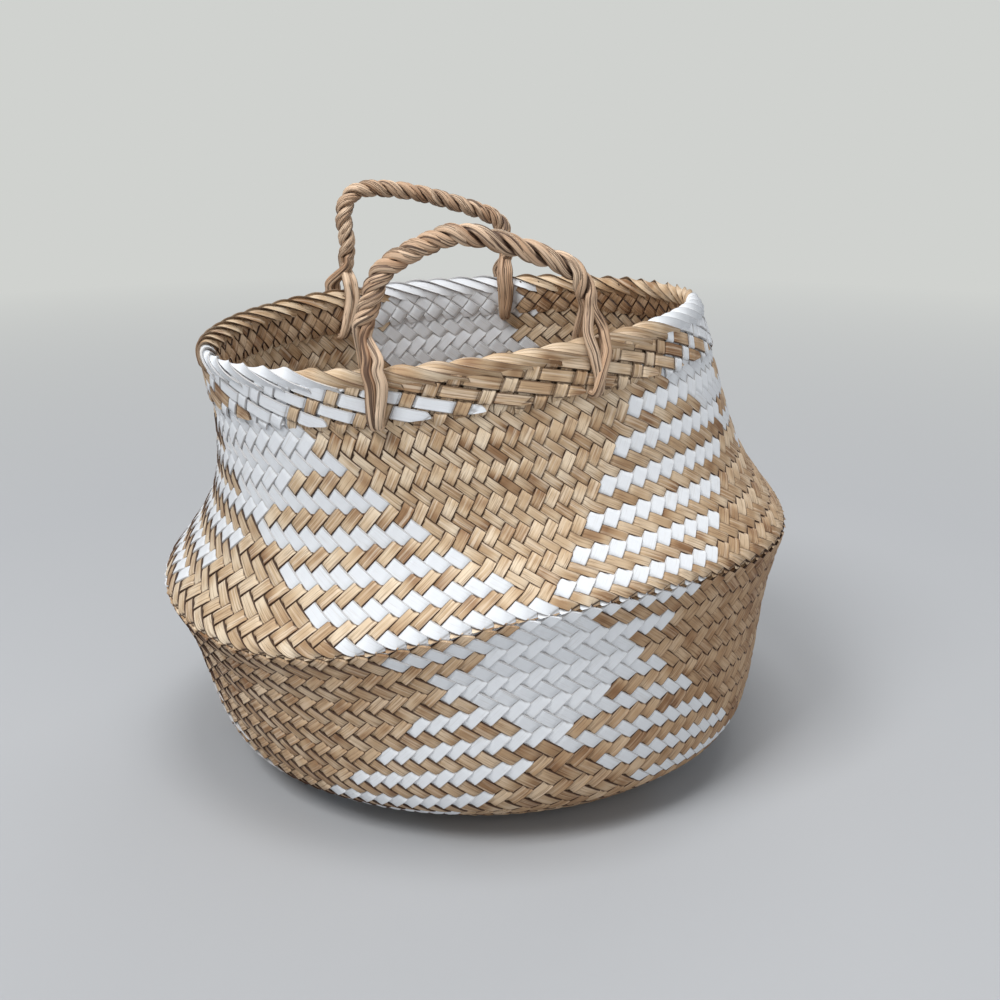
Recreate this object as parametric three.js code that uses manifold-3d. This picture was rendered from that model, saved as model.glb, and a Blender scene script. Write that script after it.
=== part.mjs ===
// A woven seagrass belly basket with a folded waist, a turned-down rim and two twisted rope handles.
// Millimetres, +Z up. The origin is the centre of the flat bottom. The front is towards -Y.
//
// Every round piece is first made as if the basket were new and true about the Z axis.
// slouch() then leans, shifts and bends it into the soft shape that a handmade basket takes in use.
import * as THREE from 'three';
import { mergeVertices } from 'three/addons/utils/BufferGeometryUtils.js';
import Module from 'manifold-3d';

// Wall outline: outside radius and height of each station
const BASE_R = 90;
const UNDERSIDE_R = 114;
const UNDERSIDE_H = 10.5;
const HAUNCH_R = 129;
const HAUNCH_H = 26;
const SIDE_R = 140;
const SIDE_H = 74.5;
const BELLY_R = 150;
const BELLY_H = 101;
const SHOULDER_R = 130;
const SHOULDER_H = 131;
const WAIST_R = 121.5;
const WAIST_H = 158;
const RIM_R = 116;
const RIM_H = 209;

// Thickness of the weave, of the turned-down strips and of the folded edge on top
const WALL = 2.8;
const BAND_T = 1.6;
const BAND_H = 19.5;
const EDGE_T = 5.2;
const GAP = 0.3;

// Slouch: shift and lean of the belly fold and of the rim, and how far they are out of round and level
const BELLY_SHIFT = new THREE.Vector2(-5.6, 7.2);
const RIM_SHIFT = new THREE.Vector2(-16.9, -0.9);
const SIDE_BOW = 5.3;
const BELLY_LEAN_DEG = new THREE.Vector2(6.5, -1.6);
const RIM_LEAN_DEG = new THREE.Vector2(4.2, -1);
const BELLY_OVAL = 2.3;
const BELLY_OVAL_AT_DEG = 25;
const BELLY_WAVE = 6.2;
const BELLY_WAVE_AT_DEG = 52;
const RIM_OVAL = 5;
const RIM_OVAL_AT_DEG = 68;
const RIM_DIP = 1.6;
const RIM_DIP_AT_DEG = -40;

// Rope handles: two plies laid round each other, and at each foot two strands that go round the rim
const PLY_D = 5.2;
const LAY = 25;
const FOOT_LENGTH = 6;
const HANDLE_H = 41;
const FRONT_LEFT_AT_DEG = -104;
const FRONT_RIGHT_AT_DEG = -59;
const REAR_LEFT_AT_DEG = 121;
const REAR_RIGHT_AT_DEG = 77;
const STRAND_D = 4.6;
const STRAND_CLEARANCE = 0.5;
const SLOT_CLEARANCE = 1.1;
const FOOT_CLEARANCE = 0.35;
const PLY_CLEARANCE = 0.25;

// How much further round the rim the slot of each foot lies than the foot itself
const FRONT_LEFT_LEAN_DEG = -1.5;
const FRONT_RIGHT_LEAN_DEG = -3.4;
const REAR_LEFT_LEAN_DEG = 4.6;
const REAR_RIGHT_LEAN_DEG = 3.1;

// Bend of each rope between its feet, as shares of the half span and of the height above the hinge line
const FRONT_BEND = [
  [-0.9, 0.4], [-0.76, 0.68], [-0.46, 0.84], [-0.13, 0.93],
  [0.18, 0.85], [0.5, 0.7], [0.79, 0.54], [0.93, 0.41],
];
const REAR_BEND = [
  [-0.96, 0.35], [-0.98, 0.72], [-0.9, 0.95], [-0.72, 1.04], [-0.4, 1.02],
  [0, 0.93], [0.4, 0.785], [0.75, 0.64], [0.93, 0.5], [0.99, 0.3],
];

// Fineness of the facets
const ROUND_STEPS = 60;
const OUTLINE_STEPS = 9;
const BAND_STEPS = 2;
const EDGE_STEPS = 6;
const LOOP_ARC_STEPS = 6;
const LOOP_LEG_STEPS = 3;
const STRAND_SIDES = 6;
const PLY_STEPS = 64;
const PLY_SIDES = 6;
const END_SIDES = 8;
const END_RINGS = 6;

const SEAGRASS = { color: 0xb08a5c, roughness: 0.78, metalness: 0 };
const ROPE = { color: 0x9c7048, roughness: 0.8, metalness: 0 };

const { degToRad } = THREE.MathUtils;
const basket = new THREE.Group();

function place(name, geometry, finish) {
  const mesh = new THREE.Mesh(geometry, new THREE.MeshStandardMaterial(finish));
  mesh.name = name;
  basket.add(mesh);
}

// Slouched shape

// A wave with so many lobes round the basket, 1 at the given angle
function lobes(count, angle, atDeg) {
  return Math.cos(count * (angle - degToRad(atDeg)));
}

// Moves a point of the true, round basket to its place in the slouched one. The floor mat stays flat.
function slouch(point) {
  const angle = Math.atan2(point.y, point.x);
  const belly = THREE.MathUtils.clamp((point.z - WALL) / (BELLY_H - WALL), 0, 1);
  const rim = THREE.MathUtils.clamp((point.z - BELLY_H) / (RIM_H - BELLY_H), 0, 1);
  const low = belly * (1 - rim);
  const bellyOval = (BELLY_OVAL / BELLY_R) * lobes(2, angle, BELLY_OVAL_AT_DEG);
  const rimOval = (RIM_OVAL / RIM_R) * lobes(2, angle, RIM_OVAL_AT_DEG);
  const stretch = 1 + low * bellyOval + rim * rimOval;
  const x = point.x * stretch;
  const y = point.y * stretch;
  const leanX = degToRad(BELLY_LEAN_DEG.x * low + RIM_LEAN_DEG.x * rim);
  const leanY = degToRad(BELLY_LEAN_DEG.y * low + RIM_LEAN_DEG.y * rim);
  const bow = 4 * rim * (1 - rim) * SIDE_BOW;
  const bellyWave = low * BELLY_WAVE * lobes(3, angle, BELLY_WAVE_AT_DEG);
  const rimDip = rim * RIM_DIP * lobes(2, angle, RIM_DIP_AT_DEG);
  return new THREE.Vector3(
    BELLY_SHIFT.x * low + RIM_SHIFT.x * rim + bow + x * Math.cos(leanX),
    BELLY_SHIFT.y * low + RIM_SHIFT.y * rim + y * Math.cos(leanY),
    point.z + x * Math.sin(leanX) + y * Math.sin(leanY) + bellyWave + rimDip,
  );
}

function slouched(geometry) {
  const position = geometry.attributes.position;
  const point = new THREE.Vector3();
  for (let i = 0; i < position.count; i += 1) {
    const moved = slouch(point.fromBufferAttribute(position, i));
    position.setXYZ(i, moved.x, moved.y, moved.z);
  }
  geometry.computeVertexNormals();
  return geometry;
}

// A point of the true basket from its radius, angle and height
function around(radius, angle, height) {
  return new THREE.Vector3(radius * Math.cos(angle), radius * Math.sin(angle), height);
}

// Outline of the wall

function wallLine(pairs) {
  return new THREE.SplineCurve(pairs.map(([radius, height]) => new THREE.Vector2(radius, height)));
}
const LOWER_LINE = wallLine([
  [BASE_R, 0], [UNDERSIDE_R, UNDERSIDE_H], [HAUNCH_R, HAUNCH_H], [SIDE_R, SIDE_H], [BELLY_R, BELLY_H],
]);
const UPPER_LINE = wallLine([
  [BELLY_R, BELLY_H], [SHOULDER_R, SHOULDER_H], [WAIST_R, WAIST_H], [RIM_R, RIM_H],
]);

// Where along a rising line it reaches a height, from 0 to 1
function reach(line, height) {
  let low = 0;
  let high = 1;
  for (let i = 0; i < 40; i += 1) {
    const middle = (low + high) / 2;
    if (line.getPoint(middle).y < height) low = middle;
    else high = middle;
  }
  return low;
}

// The line's point at a share of its length, moved inwards on the level by a thickness of weave
function levelInset(line, share, depth) {
  const point = line.getPoint(share);
  const along = line.getTangent(share);
  return point.setX(point.x - depth / Math.abs(along.y));
}

// The line's point at a share of its length, moved inwards square to the weave
function squareInset(line, share, depth) {
  const along = line.getTangent(share);
  return line.getPoint(share).add(new THREE.Vector2(-along.y, along.x).multiplyScalar(depth));
}

// A closed outline of radius and height, turned about the Z axis
function turned(outline) {
  const profile = [...outline, outline[0].clone()];
  return new THREE.LatheGeometry(profile, ROUND_STEPS).rotateX(Math.PI / 2);
}

// A layer of weave that follows the upper line between two heights, its ends cut level
function layer(from, to, outerDepth, innerDepth, steps) {
  const start = reach(UPPER_LINE, from);
  const end = reach(UPPER_LINE, to);
  const outer = [];
  const inner = [];
  for (let i = 0; i <= steps; i += 1) {
    const share = start + (end - start) * i / steps;
    outer.push(levelInset(UPPER_LINE, share, outerDepth));
    inner.unshift(levelInset(UPPER_LINE, share, innerDepth));
  }
  return turned([...outer, ...inner]);
}

// Solids that are cut or joined

const wasm = await Module();
wasm.setup();

function solidOf(geometry) {
  const bare = geometry.clone();
  bare.deleteAttribute('normal');
  bare.deleteAttribute('uv');
  const merged = mergeVertices(bare);
  return new wasm.Manifold(new wasm.Mesh({
    numProp: 3,
    vertProperties: new Float32Array(merged.attributes.position.array),
    triVerts: new Uint32Array(merged.index.array),
  }));
}

function geometryOf(solid) {
  const mesh = solid.getMesh();
  const geometry = new THREE.BufferGeometry();
  geometry.setAttribute('position', new THREE.BufferAttribute(mesh.vertProperties, 3));
  geometry.setIndex(new THREE.BufferAttribute(mesh.triVerts, 1));
  geometry.computeVertexNormals();
  return geometry;
}

// Bottom and lower wall

const floorR = BASE_R - GAP;
const floorCorners = [[0, 0], [floorR, 0], [floorR, WALL], [0, WALL]];
const floorOutline = floorCorners.map(([radius, height]) => new THREE.Vector2(radius, height));
place('woven_base', new THREE.LatheGeometry(floorOutline, ROUND_STEPS).rotateX(Math.PI / 2), SEAGRASS);

const foldShare = reach(LOWER_LINE, BELLY_H - GAP / 2);
const lowerOuter = [];
const lowerInner = [];
for (let i = 0; i <= OUTLINE_STEPS; i += 1) {
  const share = foldShare * i / OUTLINE_STEPS;
  lowerOuter.push(LOWER_LINE.getPoint(share));
  if (i > 0 && i < OUTLINE_STEPS) lowerInner.unshift(squareInset(LOWER_LINE, share, WALL));
}
const foldInside = levelInset(LOWER_LINE, foldShare, WALL);
const floorSeam = new THREE.Vector2(BASE_R, WALL);
place('lower_wall', slouched(turned([...lowerOuter, foldInside, ...lowerInner, floorSeam])), SEAGRASS);

// Strand loops: each goes round the rim and through a slot under the band

const strandR = STRAND_D / 2;
const stackHalf = WALL / 2 + GAP + BAND_T;
const loopHalf = stackHalf + STRAND_CLEARANCE + strandR;
const bandBottom = RIM_H - BAND_H;
const loopTop = RIM_H - stackHalf;
const slotHeight = bandBottom - loopHalf;

// The middle of the wall at a height of the upper line
function wallMiddle(height) {
  return levelInset(UPPER_LINE, reach(UPPER_LINE, height), WALL / 2).x;
}

// Two strands stand side by side on the rim and lean down to a slot that lies further round
class Foot {
  constructor(atDeg, leanDeg) {
    this.at = degToRad(atDeg);
    this.lean = degToRad(leanDeg);
    const slope = this.lean * wallMiddle(bandBottom) / (loopTop - slotHeight);
    this.apart = (STRAND_D + GAP) * Math.hypot(1, slope);
  }

  angle(height) {
    return this.at + this.lean * THREE.MathUtils.clamp((loopTop - height) / (loopTop - slotHeight), 0, 1);
  }
}

const feet = {
  front: {
    left: new Foot(FRONT_LEFT_AT_DEG, FRONT_LEFT_LEAN_DEG),
    right: new Foot(FRONT_RIGHT_AT_DEG, FRONT_RIGHT_LEAN_DEG),
  },
  rear: {
    left: new Foot(REAR_LEFT_AT_DEG, REAR_LEFT_LEAN_DEG),
    right: new Foot(REAR_RIGHT_AT_DEG, REAR_RIGHT_LEAN_DEG),
  },
};

// The centre line of a loop: up the outside, over the rim, down the inside and through the slot
function loopPoints(foot, sign) {
  const shift = sign * foot.apart / 2 / wallMiddle(bandBottom);
  const at = (radius, height) => around(radius, foot.angle(height) + shift, height);
  const points = [];
  for (let i = 0; i < LOOP_LEG_STEPS; i += 1) {
    const height = THREE.MathUtils.lerp(bandBottom, loopTop, i / LOOP_LEG_STEPS);
    points.push(at(wallMiddle(height) + loopHalf, height));
  }
  for (let i = 0; i < LOOP_ARC_STEPS; i += 1) {
    const turn = Math.PI * i / LOOP_ARC_STEPS;
    const radius = wallMiddle(loopTop) + loopHalf * Math.cos(turn);
    points.push(at(radius, loopTop + loopHalf * Math.sin(turn)));
  }
  for (let i = 0; i < LOOP_LEG_STEPS; i += 1) {
    const height = THREE.MathUtils.lerp(loopTop, bandBottom, i / LOOP_LEG_STEPS);
    points.push(at(wallMiddle(height) - loopHalf, height));
  }
  for (let i = 0; i < LOOP_ARC_STEPS; i += 1) {
    const turn = Math.PI * (1 + i / LOOP_ARC_STEPS);
    const radius = wallMiddle(bandBottom) + loopHalf * Math.cos(turn);
    points.push(at(radius, bandBottom + loopHalf * Math.sin(turn)));
  }
  return points.map(slouch);
}

// A tube whose centre line closes on itself
function closedTube(points, radius, sides) {
  const count = points.length;
  const across = new THREE.Vector3();
  points.forEach((point, i) => across.add(point.clone().cross(points[(i + 1) % count])));
  across.normalize();
  const vertices = [];
  const faces = [];
  points.forEach((point, i) => {
    const next = (i + 1) % count;
    const along = points[next].clone().sub(points[(i + count - 1) % count]).normalize();
    const outward = along.clone().cross(across).normalize();
    const sideways = along.clone().cross(outward);
    for (let j = 0; j < sides; j += 1) {
      const turn = 2 * Math.PI * j / sides;
      const corner = point.clone().addScaledVector(outward, radius * Math.cos(turn));
      vertices.push(...corner.addScaledVector(sideways, radius * Math.sin(turn)).toArray());
      const [a, b] = [i * sides + j, i * sides + (j + 1) % sides];
      const [c, d] = [next * sides + j, next * sides + (j + 1) % sides];
      faces.push(a, b, c, b, d, c);
    }
  });
  const geometry = new THREE.BufferGeometry();
  geometry.setAttribute('position', new THREE.Float32BufferAttribute(vertices, 3));
  geometry.setIndex(faces);
  geometry.computeVertexNormals();
  return geometry;
}

for (const [side, pair] of Object.entries(feet)) {
  for (const [end, foot] of Object.entries(pair)) {
    for (const [letter, sign] of [['a', -1], ['b', 1]]) {
      const loop = closedTube(loopPoints(foot, sign), strandR, STRAND_SIDES);
      place(`${side}_${end}_strand_${letter}`, loop, ROPE);
    }
  }
}

// Upper wall with a slot under the band for each pair of strands, and the turned-down rim

const slotHalfH = strandR + SLOT_CLEARANCE;

function slotCutter(foot) {
  const angle = foot.angle(slotHeight);
  const straight = foot.apart / 2;
  const outline = new THREE.Shape()
    .absarc(straight, 0, slotHalfH, -Math.PI / 2, Math.PI / 2)
    .absarc(-straight, 0, slotHalfH, Math.PI / 2, 1.5 * Math.PI);
  const depth = 4 * WALL;
  const cutter = new THREE.ExtrudeGeometry(outline, { depth, curveSegments: 4, bevelEnabled: false });
  const outward = around(1, angle, 0);
  const up = new THREE.Vector3(0, 0, 1);
  const basis = new THREE.Matrix4().makeBasis(up.clone().cross(outward), up, outward);
  const centre = around(wallMiddle(slotHeight) - depth / 2, angle, slotHeight);
  return cutter.applyMatrix4(basis.setPosition(centre));
}

const wallTop = RIM_H - EDGE_T - GAP;
let upperWall = solidOf(layer(BELLY_H + GAP / 2, wallTop, 0, WALL, OUTLINE_STEPS));
for (const pair of Object.values(feet)) {
  for (const foot of Object.values(pair)) upperWall = upperWall.subtract(solidOf(slotCutter(foot)));
}
place('upper_wall', slouched(geometryOf(upperWall)), SEAGRASS);

const innerBand = WALL + GAP;
place('rim_band_outer', slouched(layer(bandBottom, wallTop, -GAP - BAND_T, -GAP, BAND_STEPS)), SEAGRASS);
const lining = layer(bandBottom, wallTop, innerBand, innerBand + BAND_T, BAND_STEPS);
place('rim_band_inner', slouched(lining), SEAGRASS);

const edgeOutline = [];
for (let i = 0; i <= EDGE_STEPS; i += 1) {
  const turn = Math.PI * i / EDGE_STEPS;
  const radius = wallMiddle(wallTop) + stackHalf * Math.cos(turn);
  edgeOutline.push(new THREE.Vector2(radius, RIM_H - EDGE_T + EDGE_T * Math.sin(turn)));
}
place('rim_edge', slouched(turned(edgeOutline)), SEAGRASS);

// Twisted rope handles

const plyR = PLY_D / 2;
const plyOffset = plyR + PLY_CLEARANCE;
const hingeHeight = loopTop + loopHalf + strandR + FOOT_CLEARANCE + plyR;

// One ply of a rope: straight at its feet, and laid round the rope's own line between them
class Ply extends THREE.Curve {
  constructor(rope, across, phase) {
    super();
    this.rope = rope;
    this.across = across;
    this.phase = phase;
    this.length = rope.getLength();
    this.halfTurns = Math.round(2 * (this.length - 2 * FOOT_LENGTH) / LAY);
  }

  getPoint(share, target = new THREE.Vector3()) {
    const laid = (share * this.length - FOOT_LENGTH) / (this.length - 2 * FOOT_LENGTH);
    const turn = this.phase - Math.PI * this.halfTurns * THREE.MathUtils.clamp(laid, 0, 1);
    const side = this.rope.getTangentAt(share).cross(this.across);
    target.copy(this.rope.getPointAt(share));
    target.addScaledVector(side, plyOffset * Math.cos(turn));
    return target.addScaledVector(this.across, plyOffset * Math.sin(turn));
  }
}

function roundSection(radius, sides) {
  const corners = [];
  for (let i = 0; i < sides; i += 1) {
    const turn = 2 * Math.PI * i / sides;
    corners.push(new THREE.Vector2(radius * Math.cos(turn), radius * Math.sin(turn)));
  }
  return new THREE.Shape(corners);
}

// A ply with round ends, centred on the hinge line so that they turn on their seats
function plySolid(path) {
  const along = { steps: PLY_STEPS, extrudePath: path };
  let solid = solidOf(new THREE.ExtrudeGeometry(roundSection(plyR, PLY_SIDES), along));
  for (const share of [0, 1]) {
    const centre = path.getPoint(share);
    const end = new THREE.SphereGeometry(plyR, END_SIDES, END_RINGS);
    solid = solid.add(solidOf(end.translate(centre.x, centre.y, centre.z)));
  }
  return geometryOf(solid);
}

function ropeHandle(side, bend) {
  const radius = wallMiddle(loopTop);
  const [left, right] = ['left', 'right'].map((end) => (
    slouch(around(radius, feet[side][end].at, hingeHeight))
  ));
  const middle = left.clone().lerp(right, 0.5);
  const halfSpan = left.distanceTo(right) / 2;
  const along = right.clone().sub(left).normalize();
  const across = along.clone().cross(new THREE.Vector3(0, 0, 1)).normalize();
  const up = across.clone().cross(along);
  const footShare = FOOT_LENGTH / HANDLE_H;
  const route = [[-1, 0], [-1, footShare], ...bend, [1, footShare], [1, 0]];
  const rope = new THREE.CatmullRomCurve3(route.map(([out, rise]) => middle.clone()
    .addScaledVector(along, out * halfSpan)
    .addScaledVector(up, rise * HANDLE_H)));
  place(`${side}_handle_ply_a`, plySolid(new Ply(rope, across, 0)), ROPE);
  place(`${side}_handle_ply_b`, plySolid(new Ply(rope, across, Math.PI)), ROPE);
}

ropeHandle('front', FRONT_BEND);
ropeHandle('rear', REAR_BEND);

export default basket;
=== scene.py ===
"""A belly basket of plaited seagrass with a painted check, a turned-down rim and two rope handles.

The walls, the bottom and the rim are made of real strips that pass over and under each other on a
guide surface, and the ropes are yarns that run from one hole under the rim to the next.
"""

import bisect
import logging
import math
from dataclasses import dataclass
from enum import Enum
from typing import Any, Callable, Sequence

import bpy
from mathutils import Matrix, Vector

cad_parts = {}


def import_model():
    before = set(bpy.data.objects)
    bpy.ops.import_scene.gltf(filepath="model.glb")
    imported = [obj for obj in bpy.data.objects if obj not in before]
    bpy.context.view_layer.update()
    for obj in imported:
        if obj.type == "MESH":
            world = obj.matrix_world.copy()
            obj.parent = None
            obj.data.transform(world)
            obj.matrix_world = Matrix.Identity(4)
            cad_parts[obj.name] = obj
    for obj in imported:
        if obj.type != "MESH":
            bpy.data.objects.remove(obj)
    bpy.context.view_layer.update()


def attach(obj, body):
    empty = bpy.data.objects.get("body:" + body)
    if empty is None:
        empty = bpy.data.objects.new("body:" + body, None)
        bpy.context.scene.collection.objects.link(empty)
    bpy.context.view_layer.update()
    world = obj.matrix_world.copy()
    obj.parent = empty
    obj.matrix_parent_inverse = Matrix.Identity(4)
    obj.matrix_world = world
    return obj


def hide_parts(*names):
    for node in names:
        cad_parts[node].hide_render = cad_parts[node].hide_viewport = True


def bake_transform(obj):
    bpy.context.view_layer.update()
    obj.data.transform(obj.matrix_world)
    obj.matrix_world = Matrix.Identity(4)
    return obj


LOG = logging.getLogger("basket")
MM = 0.001
PLACE = "place"
# The random tone of each strip or yarn, and the values from which painted shade at its edges, dives and hollows is
# drawn
TONE_AND_SHADE = "tone"
# How far apart the seeds of the bare and the painted strips on the bias are
PAINT_SEED = 5

Colour = tuple[float, float, float]
# The value where a mask starts, the one where it is full, and its strength
Mask = tuple[float, float, float]

# The handles' middle lines, as shares of half the span and of the rise
FRONT_BEND = ((-0.9, 0.4), (-0.76, 0.68), (-0.46, 0.84), (-0.13, 0.93), (0.18, 0.85), (0.5, 0.7), (0.79, 0.54),
              (0.93, 0.41))
REAR_BEND = ((-0.96, 0.35), (-0.98, 0.72), (-0.9, 0.95), (-0.72, 1.04), (-0.4, 1.02), (0, 0.93), (0.4, 0.785),
             (0.75, 0.64), (0.93, 0.5), (0.99, 0.3))


def srgb(red: int, green: int, blue: int) -> Colour:
    """Turns a colour as a screen shows it, 0 to 255, into linear light."""
    return tuple(((c / 255 + 0.055) / 1.055) ** 2.4 if c > 10 else c / 3295 for c in (red, green, blue))


class Wire:
    """A socket of a node tree that can be used in Python arithmetic, for values and for vectors."""

    def __init__(self, graph: "Graph", socket: bpy.types.NodeSocket) -> None:
        """Keeps the tree and the socket."""
        self.graph = graph
        self.socket = socket

    @property
    def is_vector(self) -> bool:
        """True for a vector socket."""
        return self.socket.type == "VECTOR"

    def _join(self, operation: str, first: Any, second: Any) -> "Wire":
        """Adds the node for an operator.

        Args:
            operation: the name of the Math or Vector Math operation.
            first: the left operand, a Wire, a number or a vector.
            second: the right operand.

        Returns:
            The result.
        """
        vectors = [isinstance(v, (Vector, tuple)) or (isinstance(v, Wire) and v.is_vector) for v in (first, second)]
        if not any(vectors):
            return self.graph.maths(operation, first, second)
        if operation == "MULTIPLY" and not all(vectors):
            vector, factor = (first, second) if vectors[0] else (second, first)
            return self.graph.node("ShaderNodeVectorMath", {"operation": "SCALE"}, {0: vector, "Scale": factor})[0]
        return self._on_vectors(operation, first, second)[0]

    def _on_vectors(self, operation: str, *values: Any) -> "Made":
        """Adds a Vector Math node."""
        return self.graph.node("ShaderNodeVectorMath", {"operation": operation}, dict(enumerate(values)))

    def __add__(self, other: Any) -> "Wire":
        """Sum."""
        return self._join("ADD", self, other)

    def __radd__(self, other: Any) -> "Wire":
        """Sum, with the number first."""
        return self._join("ADD", other, self)

    def __sub__(self, other: Any) -> "Wire":
        """Difference."""
        return self._join("SUBTRACT", self, other)

    def __rsub__(self, other: Any) -> "Wire":
        """Difference, with the number first."""
        return self._join("SUBTRACT", other, self)

    def __mul__(self, other: Any) -> "Wire":
        """Product."""
        return self._join("MULTIPLY", self, other)

    def __rmul__(self, other: Any) -> "Wire":
        """Product, with the number first."""
        return self._join("MULTIPLY", other, self)

    def __truediv__(self, other: Any) -> "Wire":
        """Quotient."""
        return self._join("DIVIDE", self, other)

    def __rtruediv__(self, other: Any) -> "Wire":
        """Quotient, with the number first."""
        return self._join("DIVIDE", other, self)

    def dot(self, other: "Wire") -> "Wire":
        """Dot product of two vectors."""
        return self._on_vectors("DOT_PRODUCT", self, other)["Value"]

    def cross(self, other: "Wire") -> "Wire":
        """Cross product of two vectors."""
        return self._on_vectors("CROSS_PRODUCT", self, other)[0]

    def length(self) -> "Wire":
        """Length of a vector."""
        return self._on_vectors("LENGTH", self)["Value"]

    def unit(self) -> "Wire":
        """The vector at length one."""
        return self._on_vectors("NORMALIZE", self)[0]

    def parts(self) -> tuple["Wire", "Wire", "Wire"]:
        """The three components of a vector."""
        made = self.graph.node("ShaderNodeSeparateXYZ", {}, {0: self})
        return made[0], made[1], made[2]


class Made:
    """A node that has been added, whose outputs are read by name or number."""

    def __init__(self, graph: "Graph", node: bpy.types.Node) -> None:
        """Keeps the tree and the node."""
        self.graph = graph
        self.node = node

    def __getitem__(self, key: str | int) -> Wire:
        """The output of that name or number, among those that the settings switch on."""
        shown = [socket for socket in self.node.outputs if socket.enabled]
        return Wire(self.graph, shown[key] if isinstance(key, int) else next(s for s in shown if s.name == key))


class Graph:
    """A node tree that is being written."""

    def __init__(self, tree: bpy.types.NodeTree) -> None:
        """Keeps the tree."""
        self.tree = tree

    def node(self, kind: str, settings: dict[str, Any] | None = None, values: dict[Any, Any] | None = None) -> Made:
        """Adds a node.

        Args:
            kind: the node's type.
            settings: its properties, set before its sockets. "stops" sets a ramp.
            values: a number, vector or Wire for each socket, by name or by number.

        Returns:
            The node.
        """
        made = self.tree.nodes.new(kind)
        for name, value in (settings or {}).items():
            if name == "stops":
                self._stops(made.color_ramp, value)
            else:
                setattr(made, name, value)
        for key, value in (values or {}).items():
            shown = [s for s in made.inputs if s.enabled]
            socket = shown[key] if isinstance(key, int) else next(s for s in shown if s.name == key)
            if isinstance(value, Wire):
                self.tree.links.new(value.socket, socket)
            elif value is not None:
                wide = socket.type == "RGBA" and len(value) == 3
                socket.default_value = (*value, 1.0) if wide else value
        return Made(self, made)

    @staticmethod
    def _stops(ramp: bpy.types.ColorRamp, stops: Sequence[tuple[float, Colour]]) -> None:
        """Sets the stops of a colour ramp.

        Args:
            ramp: the ramp.
            stops: the place and the colour of each stop, in rising order.
        """
        while len(ramp.elements) < len(stops):
            ramp.elements.new(1.0)
        for element, (place, colour) in zip(ramp.elements, stops):
            element.position = place
            element.color = (*colour, 1.0)

    def maths(self, operation: str, *values: Any) -> Wire:
        """Adds a Math node and gives its result."""
        return self.node("ShaderNodeMath", {"operation": operation}, dict(enumerate(values)))[0]

    def vector(self, x: Any, y: Any, z: Any) -> Wire:
        """Joins three values to a vector."""
        return self.node("ShaderNodeCombineXYZ", {}, {0: x, 1: y, 2: z})[0]

    def noise(self, place: Wire, scale: float, detail: float = 2.0, roughness: float = 0.5) -> Wire:
        """A smooth noise between 0 and 1, about 0.5 in the middle."""
        values = {"Vector": place, "Scale": scale, "Detail": detail, "Roughness": roughness}
        return self.node("ShaderNodeTexNoise", {"noise_dimensions": "3D"}, values)[0]


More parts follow.
